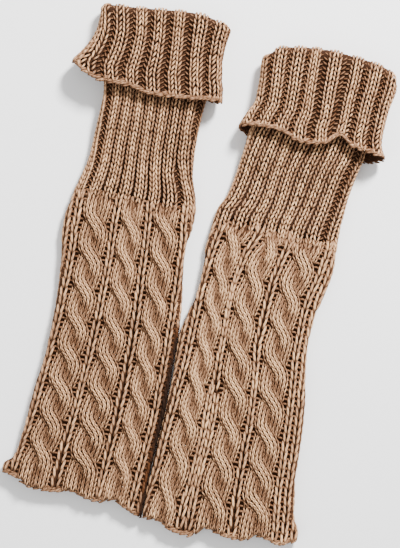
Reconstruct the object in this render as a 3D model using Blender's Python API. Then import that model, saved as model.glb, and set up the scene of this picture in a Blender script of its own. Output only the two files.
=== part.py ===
"""A pair of cabled leg warmers, laid flat side by side.

Each one is a knitted tube, pressed flat so that its front lies on its back:
a cabled leg, a ribbed neck above it, and a ribbed cuff turned down over the neck.
A tube is worked out section by section in its own frame, in millimetres.
Along runs from the hem towards the cuff, across runs to the right, and up is
the height over the floor. Around counts along the cloth of one section,
from the middle of its front, to the right.
"""

import math
from bisect import bisect_right

import bmesh
import bpy

# Driving dimensions, in millimetres

MM = 0.001
WALL = 3.5
HOLLOW = 2.0
LAYER_GAP = 0.4
SEAM_GAP = 0.3
RIM_GAP = 1.3
LEG_HEIGHT = 2 * WALL + HOLLOW
CUFF_HEIGHT = LEG_HEIGHT + 2 * (WALL + LAYER_GAP)
NECK_LIFT = WALL + LAYER_GAP
CABLE_TOP = 262.0
CABLE_RISE = 4.8
CABLE_FLOOR = 0.8
CABLE_COLUMNS = 9
STRAND_SHARE = 0.54
STRAND_DIVE = 0.7
STRAND_LOW_SHARE = 0.15
SWING_SPAN = 0.4
LADDER_RISE = 2.2
GUTTER_RISE = 0.5
FOLD_FADE = 30.0
NECK_RIBS = 8
NECK_RIB_RISE = 1.6
NECK_GUTTER_RISE = 0.2
CUFF_GUTTERS = 6
CUFF_FIRST_GUTTER = -0.82
CUFF_GUTTER_PITCH = 0.306
CUFF_RIB_RISE = 2.0
RIB_RIDGES = (0.32, 0.68)
EDGE_ROLL = 0.8
EDGE_ROLL_DEPTH = 2.5
SIDE_RELIEF = 0.9
SEAM_RISE = 0.4
SEAM_FADE = 12.0
HEM_FADE = 60.0
ROW_STEP = 5.0
INSIDE_STEP = CABLE_TOP / 7


class Table:
    """Rows of named columns, read smoothly at any place on the first column."""

    def __init__(self, names, *rows):
        self.columns = dict(zip(names, zip(*rows)))
        self.places = self.columns[names[0]]

    def at(self, name, place):
        """The column's value at a place, with no overshoot between the rows."""
        xs, ys = self.places, self.columns[name]
        place = min(max(place, xs[0]), xs[-1])
        i = min(bisect_right(xs, place) - 1, len(xs) - 2)
        step = xs[i + 1] - xs[i]
        t = (place - xs[i]) / step
        start, end = self._slope(ys, i), self._slope(ys, i + 1)
        rise = ys[i + 1] - ys[i]
        bend = t * t * (3 - 2 * t)
        return (
            ys[i]
            + rise * bend
            + step * (start * t * (1 - t) ** 2 - end * t * t * (1 - t))
        )

    def _slope(self, ys, i):
        if i in (0, len(ys) - 1):
            return 0.0
        before = (ys[i] - ys[i - 1]) / (self.places[i] - self.places[i - 1])
        after = (ys[i + 1] - ys[i]) / (self.places[i + 1] - self.places[i])
        if before * after <= 0:
            return 0.0
        return 2 * before * after / (before + after)


EDGES = ("along", "left", "right")
LINE = ("share", "along")
CABLES = ("along", "first", "second", "third")

# Where each tube lies on the floor: the middle of its hem, and the way it points, in degrees
# clockwise from straight up the page.

LEFT = {
    "hem_middle": (-109.9, -189.16),
    "turn": 11.15,
    "edges": Table(
        EDGES,
        (-7, -63, 62),
        (8, -62, 61.5),
        (16, -55.5, 61),
        (29, -52.5, 61),
        (55, -51, 62),
        (85, -49, 63.5),
        (120, -45.5, 63),
        (161, -45, 62),
        (200, -48, 57),
        (228, -52, 54.5),
        (250, -49.5, 56.5),
        (263, -47, 56),
        (290, -41, 48),
        (316, -40, 45.5),
        (340, -39, 46),
        (356, -41, 47),
        (380, -45, 48),
        (402, -49, 49.5),
        (420, -50.5, 51.5),
    ),
    "hem": Table(
        LINE,
        (-1.0, 8.0),
        (-0.73, 4.0),
        (-0.6, -0.6),
        (-0.27, -0.8),
        (-0.03, 3.1),
        (0.18, -0.4),
        (0.37, -1.6),
        (0.59, 2.9),
        (0.7, -1.0),
        (1.0, -7.0),
    ),
    "cables": Table(
        CABLES,
        (0, -36, 4.3, 36),
        (45, -32, 5, 39.3),
        (75, -28.5, 6.3, 40.8),
        (105, -26.5, 7, 41.2),
        (135, -25.2, 8.2, 40.8),
        (165, -24.2, 7.8, 39.5),
        (200, -24, 6.6, 37.5),
        (230, -25.7, 5.5, 35.5),
        (262, -26, 3.7, 32.5),
    ),
    "ropes": {
        "first": {"crossing": 31.9, "pitch": 28.9, "half": 11.2},
        "second": {"crossing": 30.8, "pitch": 29.5, "half": 11.6},
        "third": {"crossing": 32.2, "pitch": 29.9, "half": 11.2},
    },
    "side_ridges": (1, 2),
    "folds": (),
    "cuff_edges": Table(
        EDGES,
        (349, -71, 61),
        (366, -71, 60),
        (374, -66, 57.5),
        (383, -60.5, 56),
        (391, -57, 54.5),
        (401, -55, 54.5),
        (408, -55, 55),
        (419, -56, 56.5),
    ),
    "cuff_line": Table(
        LINE,
        (-1.0, 366),
        (-0.85, 359.5),
        (-0.6, 354),
        (-0.25, 354),
        (0.06, 350.5),
        (0.45, 352),
        (1.0, 356),
    ),
    "cuff_back_line": Table(LINE, (-1.0, 366), (-0.6, 356), (0.0, 354), (1.0, 356)),
    "fold_line": Table(LINE, (-1.0, 419), (-0.5, 421), (0.5, 426), (1.0, 421)),
}

RIGHT = {
    "hem_middle": (17.4, -220.06),
    "turn": 13.4,
    "edges": Table(
        EDGES,
        (-8, -67, 66),
        (6, -67.5, 66),
        (20, -68.5, 59),
        (41, -69, 55),
        (58, -69, 52),
        (90, -68.5, 49.5),
        (126, -70, 45),
        (156, -72, 38),
        (178, -68.5, 35.5),
        (200, -65.6, 35.7),
        (216, -66, 40),
        (238, -67.5, 42.3),
        (268, -65.5, 40.4),
        (282, -60, 40),
        (295, -57.7, 40),
        (322, -55.5, 42.4),
        (338, -55, 45),
        (356, -51, 46),
        (380, -50, 50),
        (410, -52, 54),
    ),
    "hem": Table(
        LINE,
        (-1.0, -4.0),
        (-0.82, -3.6),
        (-0.56, -10.6),
        (-0.38, -10.7),
        (-0.17, -0.5),
        (0.08, -4.0),
        (0.3, -4.0),
        (0.48, 3.3),
        (0.78, -0.3),
        (1.0, 6.0),
    ),
    "cables": Table(
        CABLES,
        (0, -53, -9, 29),
        (45, -49.5, -11.8, 23.5),
        (75, -49, -12, 21.3),
        (105, -49, -13.5, 18.8),
        (135, -48.4, -17.3, 15),
        (165, -49, -21.8, 11.5),
        (200, -50, -23, 10.8),
        (235, -48, -18.8, 14.5),
        (262, -42.5, -12, 17.8),
    ),
    "ropes": {
        "first": {"crossing": 24.7, "pitch": 31.3, "half": 10.2},
        "second": {"crossing": 26.8, "pitch": 31.8, "half": 10.8},
        "third": {"crossing": 28.0, "pitch": 30.6, "half": 11.8},
    },
    "side_ridges": (1, 2),
    "folds": (
        {"from": 20, "to": 225, "offset": 11.5, "half_width": 8.0, "rise": 2.6},
        {"from": 30, "to": 240, "offset": 17.5, "half_width": 5.6, "rise": -1.6},
    ),
    "cuff_edges": Table(
        EDGES,
        (334, -65, 64),
        (343, -64, 63),
        (356, -60, 57.7),
        (368, -55.5, 57),
        (384, -56, 57.5),
        (406, -57.8, 60),
    ),
    "cuff_line": Table(
        LINE,
        (-1.0, 344),
        (-0.72, 346.5),
        (-0.45, 346),
        (-0.15, 340.6),
        (0.17, 344.7),
        (0.38, 354.5),
        (0.52, 348),
        (0.7, 346),
        (1.0, 345),
    ),
    "cuff_back_line": Table(LINE, (-1.0, 340), (-0.8, 337), (0.0, 344), (0.8, 338), (1.0, 342)),
    "fold_line": Table(
        LINE, (-1.0, 407), (-0.78, 416), (0.0, 423), (0.62, 421), (0.92, 415), (1.0, 407)
    ),
}

# How high the neck's underside lies on the back of the cuff, and how high the cuff's front
# stands, which flares towards its loose lower edge

NECK_BASE = Table(("along", "base"), (300, 0.0), (334, NECK_LIFT), (430, NECK_LIFT))
CUFF_STANDS = Table(("share", "height"), (0.0, 20.8), (0.3, 19.0), (1.0, CUFF_HEIGHT))


def ease(value):
    """A smooth step from 0 to 1."""
    value = min(max(value, 0.0), 1.0)
    return value * value * (3 - 2 * value)


class Section:
    """One flattened ring of cloth: straight on top and below, half round at both sides."""

    def __init__(self, left, right, base, height):
        self.middle = (left + right) / 2
        self.radius = height / 2
        self.straight = (right - left) / 2 - self.radius
        self.base = base
        self.half_front = self.straight + math.pi * self.radius / 2
        self.full = 2 * self.half_front

    def point(self, around, lift):
        """(across, up) at a place around the ring, lifted outwards from its cloth."""
        on_back = abs(around) > self.half_front
        place = math.copysign(self.full - abs(around), around) if on_back else around
        turn = max(abs(place) - self.straight, 0.0) / self.radius
        reach = self.radius + lift
        across = math.copysign(min(abs(place), self.straight) + reach * math.sin(turn), place)
        rise = reach * math.cos(turn)
        return self.middle + across, self.base + self.radius + (-rise if on_back else rise)

    def relief_share(self, around):
        """How much of the relief shows: all of it on top, less at the sides, none below."""
        depth = (abs(around) - self.straight) / (math.pi * self.radius)
        return 1.0 - (1.0 - SIDE_RELIEF) * ease(2 * depth) - SIDE_RELIEF * ease(2 * depth - 1)

    def share(self, across):
        """A place across the flat tube, from -1 at its left fold to 1 at its right one."""
        return (across - self.middle) / (self.straight + self.radius)


def floor_point(leg, along, across, up):
    """A place in a tube's own frame, as a point over the floor in metres."""
    turn = math.radians(leg["turn"])
    x = leg["hem_middle"][0] + along * math.sin(turn) + across * math.cos(turn)
    y = leg["hem_middle"][1] + along * math.cos(turn) - across * math.sin(turn)
    return x * MM, y * MM, up * MM


def leg_section(leg, along):
    edges = leg["edges"]
    return Section(
        edges.at("left", along),
        edges.at("right", along),
        NECK_BASE.at("base", along),
        LEG_HEIGHT,
    )


# Cables


def strand_rise(rope, offset, along):
    """The height of a two-strand rope over the cloth, at an offset from the rope's middle.

    Each strand comes up on the left, crosses over to the right at its own crossing and
    goes down under the next one, so it shows for one pitch above and below the crossing.
    """
    half = STRAND_SHARE * rope["half"]
    swing = rope["half"] - half
    rise = CABLE_FLOOR if abs(offset) < rope["half"] - swing / 4 else 0.0
    pitches = (along - rope["crossing"]) / rope["pitch"]
    for number in range(round(pitches) - 1, round(pitches) + 2):
        turn = pitches - number
        if abs(turn) >= 1:
            continue
        sideways = math.pi / 2 * min(max(turn / SWING_SPAN, -1), 1)
        lean = swing * math.pi / 2 / SWING_SPAN / rope["pitch"] * math.cos(sideways)
        inside = 1 - ((offset + swing * math.sin(sideways)) / half) ** 2 / (1 + lean * lean)
        if inside > 0:
            over = math.cos(math.pi / 2 * turn) ** STRAND_DIVE
            top = STRAND_LOW_SHARE + (1 - STRAND_LOW_SHARE) * over
            rise = max(rise, CABLE_RISE * top * math.sqrt(inside))
    return rise


def fold_rise(leg, across, along):
    """The soft ridges and troughs that the cloth lies in, which follow the first cable."""
    rise = 0.0
    for fold in leg["folds"]:
        middle = leg["cables"].at("first", along) + fold["offset"]
        near = 1 - abs(across - middle) / fold["half_width"]
        ends = ease((along - fold["from"]) / FOLD_FADE) * ease((fold["to"] - along) / FOLD_FADE)
        rise += fold["rise"] * ease(near) * ends
    return rise


def cabled_ring(leg, along):
    """[(around, lift)] for one section of the cabled part, all the way round."""
    section = leg_section(leg, along)
    names = CABLES[1:]
    middles = [leg["cables"].at(name, along) - section.middle for name in names]
    halves = [leg["ropes"][name]["half"] for name in names]
    ring = []
    for i, name in enumerate(names):
        for step in range(CABLE_COLUMNS):
            offset = halves[i] * (2 * step / (CABLE_COLUMNS - 1) - 1)
            ring.append((middles[i] + offset, strand_rise(leg["ropes"][name], offset, along)))
        if i < 2:
            edges = middles[i] + halves[i], middles[i + 1] - halves[i + 1]
            ring.append((sum(edges) / 2, LADDER_RISE * ease((edges[1] - edges[0]) / 6)))
    left = side_ridges(section, -1, ring[0][0], leg["side_ridges"][0])
    right = side_ridges(section, 1, ring[-1][0], leg["side_ridges"][1])
    ring = left[::-1] + ring + right
    lifted = []
    for around, lift in ring:
        across = section.point(around, 0)[0]
        lift = seam_rise(lift, CABLE_TOP - along)
        lifted.append((around, lift + fold_rise(leg, across, along)))
    return section, lifted + back_ring(section)


def seam_rise(lift, away):
    """A lift that evens out towards the line where the ribs turn into cables."""
    even = SEAM_RISE * NECK_RIB_RISE + SEAM_RISE * lift / 2
    return even + (lift - even) * ease(away / SEAM_FADE)


def side_ridges(section, side, start, count):
    """The ladder ridges between the outer cable and the fold at one side of the tube."""
    reach = side * section.half_front - start
    places = []
    for i in range(1, 2 * count + 1):
        place = start + reach * i / (2 * count)
        places.append((place, LADDER_RISE if i % 2 else GUTTER_RISE))
    return places


def back_ring(section):
    """The columns below the right fold, across the flat back and up to the left fold."""
    quarter = math.pi * section.radius / 4
    right = [section.half_front + quarter * step for step in (1, 2)]
    right.append(section.full - section.straight / 2)
    return [(place, 0.0) for place in right + [section.full] + [-place for place in right[::-1]]]


# Ribs


def neck_ring(leg, along):
    """[(around, lift)] for one section of the neck: ribs at an even pitch on the front."""
    section = leg_section(leg, along)
    pitch = section.full / NECK_RIBS
    cuff_edge = leg["cuff_line"].at("along", 0)
    under_cuff = ease((cuff_edge + SEAM_FADE - along) / SEAM_FADE)
    ring = []
    for i in range(NECK_RIBS):
        start = -section.half_front + i * pitch
        ring.append((start, NECK_GUTTER_RISE))
        for ridge in RIB_RIDGES:
            ring.append((start + ridge * pitch, NECK_RIB_RISE))
    ring.append((section.half_front, NECK_GUTTER_RISE))
    away = along - CABLE_TOP
    ring = [(around, under_cuff * seam_rise(lift, away)) for around, lift in ring]
    return section, ring + back_ring(section)


def cuff_columns():
    """[(share, rise)] for the front of a cuff, from its left fold to its right one."""
    columns = [(-1.0, 0.5), ((CUFF_FIRST_GUTTER - 1) / 2, 1.0)]
    for i in range(CUFF_GUTTERS):
        gutter = CUFF_FIRST_GUTTER + i * CUFF_GUTTER_PITCH
        columns.append((gutter, 0.0))
        last = i == CUFF_GUTTERS - 1
        for ridge in RIB_RIDGES:
            columns.append((gutter + ridge * (1 - gutter if last else CUFF_GUTTER_PITCH), 1.0))
    columns.append((1.0, 0.5))
    return columns


# Meshes

WOOL_ROUGHNESS = 0.9


def mesh_object(name, rings, colour):
    """A closed body from rings of points, each joined to the next and the last to the first."""
    form = bmesh.new()
    verts = [[form.verts.new(point) for point in ring] for ring in rings]
    for ring, following in zip(verts, verts[1:] + verts[:1]):
        for a, b, c, d in zip(ring, ring[1:] + ring[:1], following[1:] + following[:1], following):
            form.faces.new((a, b, c, d))
    bmesh.ops.recalc_face_normals(form, faces=form.faces)
    mesh = bpy.data.meshes.new(name)
    form.to_mesh(mesh)
    form.free()
    mesh.shade_smooth()
    thing = bpy.data.objects.new(name, mesh)
    bpy.context.scene.collection.objects.link(thing)
    finish = bpy.data.materials.new(name)
    finish.use_nodes = True
    shader = finish.node_tree.nodes["Principled BSDF"]
    shader.inputs["Base Color"].default_value = (*colour, 1)
    shader.inputs["Roughness"].default_value = WOOL_ROUGHNESS
    shader.inputs["Metallic"].default_value = 0
    mesh.materials.append(finish)
    return thing


def ring_points(leg, section, ring, along, inside=False):
    """A ring's points over the floor. along is a function of the place across."""
    points = []
    for around, lift in ring:
        shown = -WALL if inside else lift * section.relief_share(around)
        across, up = section.point(around, shown)
        points.append(floor_point(leg, along(across), across, up))
    return points


def hem_along(leg, section, along):
    """Where a row that would be straight lies, with the wave of the hem fading out above it."""
    fade = 1 - ease(along / HEM_FADE)
    return lambda across: along + fade * leg["hem"].at("along", section.share(across))


def evenly(start, end, step):
    count = max(1, round((end - start) / step))
    return [start + (end - start) * i / count for i in range(count + 1)]


def cabled_leg(name, leg, colour):
    """The cabled part: ropes and ladders outside, plain cloth inside, open at both ends."""
    rings = []
    for along in [0.0, EDGE_ROLL_DEPTH] + evenly(ROW_STEP, CABLE_TOP, ROW_STEP):
        section, ring = cabled_ring(leg, along)
        if along < ROW_STEP:
            most = EDGE_ROLL * (1 + along / EDGE_ROLL_DEPTH)
            ring = [(around, min(lift, most)) for around, lift in ring]
        rings.append(ring_points(leg, section, ring, hem_along(leg, section, along)))
    for along in reversed(evenly(0.0, CABLE_TOP, INSIDE_STEP)):
        section, ring = cabled_ring(leg, along)
        rings.append(ring_points(leg, section, ring, hem_along(leg, section, along), inside=True))
    return mesh_object(name, rings, colour)


def rim_along(leg, across):
    """The line on which the neck ends inside the cuff, below the fold by the fold's radius."""
    top = cuff_section(leg, leg["fold_line"].at("along", 0), 1)
    return leg["fold_line"].at("along", top.share(across)) - WALL - LAYER_GAP / 2


def ribbed_neck(name, leg, colour):
    """The ribbed part between the cables and the top fold, with its upper end under the cuff."""
    start = CABLE_TOP + SEAM_GAP
    shares = [i / 12 for i in range(13)]

    def row(share_up):
        return lambda across: start + share_up * (rim_along(leg, across) - RIM_GAP - start)

    rings = []
    for share_up in shares:
        section, ring = neck_ring(leg, row(share_up)(0))
        rings.append(ring_points(leg, section, ring, row(share_up)))
    for share_up in reversed(shares[::3]):
        section, ring = neck_ring(leg, row(share_up)(0))
        rings.append(ring_points(leg, section, ring, row(share_up), inside=True))
    return mesh_object(name, rings, colour)


def turned_cuff(name, leg, colour):
    """The cuff: from its loose lower edge up to the fold, over it and in to the neck's rim."""
    columns = cuff_columns()
    outer = WALL * 2 + LAYER_GAP
    crook = LAYER_GAP / 2

    def place(share_up, section, across, on_back):
        line = leg["cuff_back_line" if on_back else "cuff_line"]
        low = line.at("along", section.share(across))
        return low + share_up * (rim_along(leg, across) - low)

    def ring(share_up, inward, over=0.0, roll=0.0):
        """One ring of the cuff, set inward from its outer face and over its fold."""
        points = []
        low = leg["cuff_line"].at("along", 0)
        middle_along = low + share_up * (rim_along(leg, 0) - low)
        rise = 0.0 if inward else CUFF_RIB_RISE
        section = cuff_section(leg, middle_along, share_up)
        marks = [(share * section.half_front, mark) for share, mark in columns]
        for around, mark in marks + [(around, 0.0) for around, _ in back_ring(section)]:
            on_back = abs(around) > section.half_front
            along = place(share_up, section, section.point(around, -inward)[0], on_back)
            shape = cuff_section(leg, along, share_up)
            around_here = around * shape.half_front / section.half_front
            lift = (rise * mark + roll) * shape.relief_share(around_here) - inward
            points.append(floor_point(leg, along + over, *shape.point(around_here, lift)))
        return points

    fold_radius = outer / 2
    rings = [ring(0.0, 0.0), ring(0.05, 0.0, roll=EDGE_ROLL)]
    rings += [ring(share_up, 0.0) for share_up in (0.14, 0.3, 0.48, 0.66, 0.84, 1.0)]
    for step in range(1, 7):
        turn = math.pi * step / 6
        inward = fold_radius * (1 - math.cos(turn))
        rings.append(ring(1.0, inward, over=fold_radius * math.sin(turn)))
    rings.append(ring(1.0, WALL + LAYER_GAP))
    rings.append(ring(1.0, WALL + crook, over=crook))
    rings += [ring(share_up, WALL) for share_up in (1.0, 0.75, 0.5, 0.25, 0.0)]
    return mesh_object(name, rings, colour)


def cuff_section(leg, along, share_up):
    edges = leg["cuff_edges"]
    height = CUFF_STANDS.at("height", share_up)
    return Section(edges.at("left", along), edges.at("right", along), 0.0, height)


def clear_scene():
    for thing in list(bpy.data.objects):
        bpy.data.objects.remove(thing, do_unlink=True)


def main():
    clear_scene()
    shades = {"left": (0.47, 0.30, 0.18), "right": (0.53, 0.35, 0.22)}
    for side, leg in (("left", LEFT), ("right", RIGHT)):
        cabled_leg(f"{side}_cabled_leg", leg, shades[side])
        ribbed_neck(f"{side}_ribbed_neck", leg, shades[side])
        turned_cuff(f"{side}_turned_cuff", leg, shades[side])


main()
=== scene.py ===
# %% [markdown]
# # A pair of cabled leg warmers
#
# Two knitted tubes lie flat beside each other. Each has a cabled leg, a ribbed neck and a
# ribbed cuff that is turned down over the neck. This lesson dresses the plain CAD solids in
# yarn: a thin ground of cloth, painted dark as the shade in the holes, keeps each solid's
# form, and every stitch that shows is a short bent length of yarn laid on it.
#
# The frame comes first. It loads the CAD solids.

# %% Load the frame
import math
from functools import partial

import bpy
import numpy as np
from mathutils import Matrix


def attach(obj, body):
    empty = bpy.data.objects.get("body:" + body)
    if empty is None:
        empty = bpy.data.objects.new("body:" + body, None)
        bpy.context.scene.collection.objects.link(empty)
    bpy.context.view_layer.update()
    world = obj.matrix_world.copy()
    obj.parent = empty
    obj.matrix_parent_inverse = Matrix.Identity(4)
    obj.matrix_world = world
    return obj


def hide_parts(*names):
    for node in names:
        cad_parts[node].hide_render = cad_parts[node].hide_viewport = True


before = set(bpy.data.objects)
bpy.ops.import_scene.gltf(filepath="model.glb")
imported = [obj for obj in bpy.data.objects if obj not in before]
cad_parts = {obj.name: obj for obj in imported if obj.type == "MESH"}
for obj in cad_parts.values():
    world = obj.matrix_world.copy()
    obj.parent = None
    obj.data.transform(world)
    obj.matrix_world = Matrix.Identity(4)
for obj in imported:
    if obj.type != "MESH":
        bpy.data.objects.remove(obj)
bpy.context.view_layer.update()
bpy.ops.object.select_all(action="DESELECT")
print("CAD nodes:", ", ".join(sorted(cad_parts)))

# %% [markdown]
# ## Sizes read along the tubes
#
# The outline of a knitted tube isn't straight: it was read off at a few places, and the
# curve between them has to be smooth. A table with named columns holds such readings, and
# it is read for thousands of stitches at once, because numpy works on whole arrays.


# %% A table that is read smoothly
class Table:
    """Rows of named columns, read smoothly at any places on the first column."""

    def __init__(self, names, *rows):
        self.columns = dict(zip(names, np.array(rows, float).T))
        self.places = self.columns[names[0]]
        self.slopes = {name: self._slopes(ys) for name, ys in self.columns.items()}

    def _slopes(self, ys):
        """The slope at each row, flat at the ends and at each turn, so nothing overshoots."""
        slopes = np.zeros(len(ys))
        steps = np.diff(ys) / np.diff(self.places)
        before, after = steps[:-1], steps[1:]
        same = before * after > 0
        slopes[1:-1][same] = (2 * before * after)[same] / (before + after)[same]
        return slopes

    def at(self, name, place):
        xs, ys, slopes = self.places, self.columns[name], self.slopes[name]
        place = np.clip(place, xs[0], xs[-1])
        i = np.clip(np.searchsorted(xs, place, side="right") - 1, 0, len(xs) - 2)
        step = xs[i + 1] - xs[i]
        t = (place - xs[i]) / step
        bend = t * t * (3 - 2 * t)
        curl = slopes[i] * t * (1 - t) ** 2 - slopes[i + 1] * t * t * (1 - t)
        return ys[i] + (ys[i + 1] - ys[i]) * bend + step * curl


def ease(value):
    """A smooth step from 0 to 1."""
    value = np.clip(value, 0.0, 1.0)
    return value * value * (3 - 2 * value)


def mix(start, end, share):
    return start + (end - start) * share


half_way = Table(("place", "height"), (0, 0), (10, 5)).at("height", 5)
print("a table that climbs from 0 to 5, read half way:", float(half_way))

# %% [markdown]
# ## The two tubes
#
# Along runs from the hem towards the cuff and across runs to the right, both in millimetres,
# so the tables are easy to compare with a ruler laid on the real thing. A share is -1 at the
# left edge and 1 at the right one. Gutters are numbered round the tube from the left. The
# same readings shape the CAD solids, which is why the yarn fits them.

# %% Measurements of the left tube
EDGES = ("along", "left", "right")
LINE = ("share", "along")
CABLES = ("along", "first", "second", "third")
GUTTERS = ("number", "low", "middle", "top")
OPEN = ("number", "from", "to")
CUFF_GUTTERS = ("number", "low", "top", "width")

LEFT = {
    "hem_middle": (-109.9, -189.16),
    "turn": 11.15,
    "covered_to": 165.0,
    "edges": Table(
        EDGES,
        (-7, -63, 62), (8, -62, 61.5), (16, -55.5, 61), (29, -52.5, 61), (55, -51, 62),
        (85, -49, 63.5), (120, -45.5, 63), (161, -45, 62), (200, -48, 57), (228, -52, 54.5),
        (250, -49.5, 56.5), (263, -47, 56), (290, -41, 48), (316, -40, 45.5), (340, -39, 46),
        (356, -41, 47), (380, -45, 48), (402, -49, 49.5), (420, -50.5, 51.5),
    ),
    "hem": Table(
        LINE,
        (-1.0, 8.0), (-0.73, 4.0), (-0.6, -0.6), (-0.27, -0.8), (-0.03, 3.1), (0.18, -0.4),
        (0.37, -1.6), (0.59, 2.9), (0.7, -1.0), (1.0, -7.0),
    ),
    "cables": Table(
        CABLES,
        (0, -36, 4.3, 36), (45, -32, 5, 39.3), (75, -28.5, 6.3, 40.8), (105, -26.5, 7, 41.2),
        (135, -25.2, 8.2, 40.8), (165, -24.2, 7.8, 39.5), (200, -24, 6.6, 37.5),
        (230, -25.7, 5.5, 35.5), (262, -26, 3.7, 32.5),
    ),
    "halves": Table(
        CABLES,
        (0, 13.8, 14.6, 11.0), (45, 13.2, 14.4, 10.9), (75, 13.6, 13.9, 10.9),
        (105, 13.4, 13.1, 10.9), (135, 12.7, 12.2, 11.0), (165, 12.6, 11.7, 11.2),
        (200, 12.5, 11.1, 11.7), (230, 12.6, 10.9, 12.0), (262, 12.4, 9.8, 11.6),
    ),
    "ropes": {
        "first": {"crossing": 31.9, "pitch": 28.9},
        "second": {"crossing": 30.8, "pitch": 29.5},
        "third": {"crossing": 32.2, "pitch": 29.9},
    },
    "folds": (),
    "neck_gutters": Table(
        GUTTERS,
        (0, -0.80, -0.83, -0.87), (1, -0.55, -0.573, -0.59), (2, -0.31, -0.33, -0.37),
        (3, -0.07, -0.10, -0.16), (4, 0.17, 0.126, 0.08), (5, 0.40, 0.36, 0.32),
        (6, 0.72, 0.63, 0.59), (7, 0.97, 0.878, 0.88), (16, 3.20, 3.17, 3.13),
    ),
    "open_gutters": Table(OPEN, (0, 240, 420), (6, 240, 300), (7, 316, 420)),
    "cuff_gutters": Table(
        CUFF_GUTTERS,
        (0, -0.93, -1.07, 0.30), (1, -0.54, -0.815, 0.27), (2, -0.285, -0.495, 0.30),
        (3, -0.04, -0.24, 0.32), (4, 0.235, 0.05, 0.33), (5, 0.485, 0.32, 0.38),
        (6, 0.72, 0.645, 0.27), (7, 0.96, 0.943, 0.27), (16, 3.21, 2.91, 0.36),
    ),
    "cuff_edges": Table(
        EDGES,
        (349, -71, 61), (366, -71, 60), (374, -66, 57.5), (383, -60.5, 56), (391, -57, 54.5),
        (401, -55, 54.5), (408, -55, 55), (419, -56, 56.5),
    ),
    "cuff_line": Table(
        LINE,
        (-1.0, 366), (-0.85, 359.5), (-0.6, 354), (-0.25, 354), (0.06, 350.5), (0.45, 352),
        (1.0, 356),
    ),
    "cuff_back_line": Table(LINE, (-1.0, 366), (-0.6, 356), (0.0, 354), (1.0, 356)),
    "fold_line": Table(LINE, (-1.0, 419), (-0.5, 421), (0.5, 426), (1.0, 421)),
}
print("edges of the left tube at its hem, in mm:", [float(LEFT["edges"].at(x, 0)) for x in EDGES[1:]])

# %% [markdown]
# The right tube is measured in the same way. It leans a little more, and its cloth lies in a
# long soft ridge and a trough beside the first cable.

# %% Measurements of the right tube
RIGHT = {
    "hem_middle": (17.4, -220.06),
    "turn": 13.4,
    "covered_to": 0.0,
    "edges": Table(
        EDGES,
        (-8, -67, 66), (6, -67.5, 66), (20, -68.5, 59), (41, -69, 55), (58, -69, 52),
        (90, -68.5, 49.5), (126, -70, 45), (156, -72, 38), (178, -68.5, 35.5), (200, -65.6, 35.7),
        (216, -66, 40), (238, -67.5, 42.3), (268, -65.5, 40.4), (282, -60, 40), (295, -57.7, 40),
        (322, -55.5, 42.4), (338, -55, 45), (356, -51, 46), (380, -50, 50), (410, -52, 54),
    ),
    "hem": Table(
        LINE,
        (-1.0, -4.0), (-0.82, -3.6), (-0.56, -10.6), (-0.38, -10.7), (-0.17, -0.5), (0.08, -4.0),
        (0.3, -4.0), (0.48, 3.3), (0.78, -0.3), (1.0, 6.0),
    ),
    "cables": Table(
        CABLES,
        (0, -53, -9, 29), (45, -49.5, -11.8, 23.5), (75, -49, -12, 21.3), (105, -49, -13.5, 18.8),
        (135, -48.4, -17.3, 15), (165, -49, -21.8, 11.5), (200, -50, -23, 10.8),
        (235, -48, -18.8, 14.5), (262, -42.5, -12, 17.8),
    ),
    "halves": Table(
        CABLES,
        (0, 12.0, 13.6, 13.6), (45, 11.9, 13.4, 13.4), (75, 11.6, 12.0, 12.9),
        (105, 10.4, 12.5, 12.7), (135, 10.1, 13.0, 12.9), (165, 9.9, 11.5, 12.5),
        (200, 9.8, 12.4, 12.1), (235, 10.2, 11.4, 13.6), (262, 12.0, 9.3, 12.8),
    ),
    "ropes": {
        "first": {"crossing": 24.7, "pitch": 31.3},
        "second": {"crossing": 26.8, "pitch": 31.8},
        "third": {"crossing": 28.0, "pitch": 30.6},
    },
    "folds": (
        {"from": 20, "to": 225, "offset": 11.5, "half_width": 8.0, "rise": 2.6},
        {"from": 30, "to": 240, "offset": 17.5, "half_width": 5.6, "rise": -1.6},
    ),
    "neck_gutters": Table(
        GUTTERS,
        (0, -0.96, -0.93, -0.88), (1, -0.707, -0.683, -0.625), (2, -0.447, -0.435, -0.40),
        (3, -0.223, -0.228, -0.175), (4, 0.01, 0.01, 0.09), (5, 0.20, 0.268, 0.32),
        (6, 0.44, 0.51, 0.57), (7, 0.73, 0.79, 0.84), (16, 3.04, 3.07, 3.12),
    ),
    "open_gutters": Table(OPEN, (7, 240, 420), (8, 420, 440)),
    "cuff_gutters": Table(
        CUFF_GUTTERS,
        (0, -0.97, -1.09, 0.25), (1, -0.765, -0.849, 0.25), (2, -0.53, -0.606, 0.25),
        (3, -0.29, -0.35, 0.24), (4, -0.03, -0.143, 0.38), (5, 0.225, 0.171, 0.38),
        (6, 0.475, 0.45, 0.29), (7, 0.72, 0.71, 0.27), (8, 0.985, 0.96, 0.27),
        (16, 3.03, 2.91, 0.27),
    ),
    "cuff_edges": Table(
        EDGES,
        (334, -65, 64), (343, -64, 63), (356, -60, 57.7), (368, -55.5, 57), (384, -56, 57.5),
        (406, -57.8, 60),
    ),
    "cuff_line": Table(
        LINE,
        (-1.0, 344), (-0.72, 346.5), (-0.45, 346), (-0.15, 340.6), (0.17, 344.7), (0.38, 354.5),
        (0.52, 348), (0.7, 346), (1.0, 345),
    ),
    "cuff_back_line": Table(LINE, (-1.0, 340), (-0.8, 337), (0.0, 344), (0.8, 338), (1.0, 342)),
    "fold_line": Table(
        LINE, (-1.0, 407), (-0.78, 416), (0.0, 423), (0.62, 421), (0.92, 415), (1.0, 407)
    ),
}
print("edges of the right tube at its hem, in mm:", [float(RIGHT["edges"].at(x, 0)) for x in EDGES[1:]])

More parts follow.
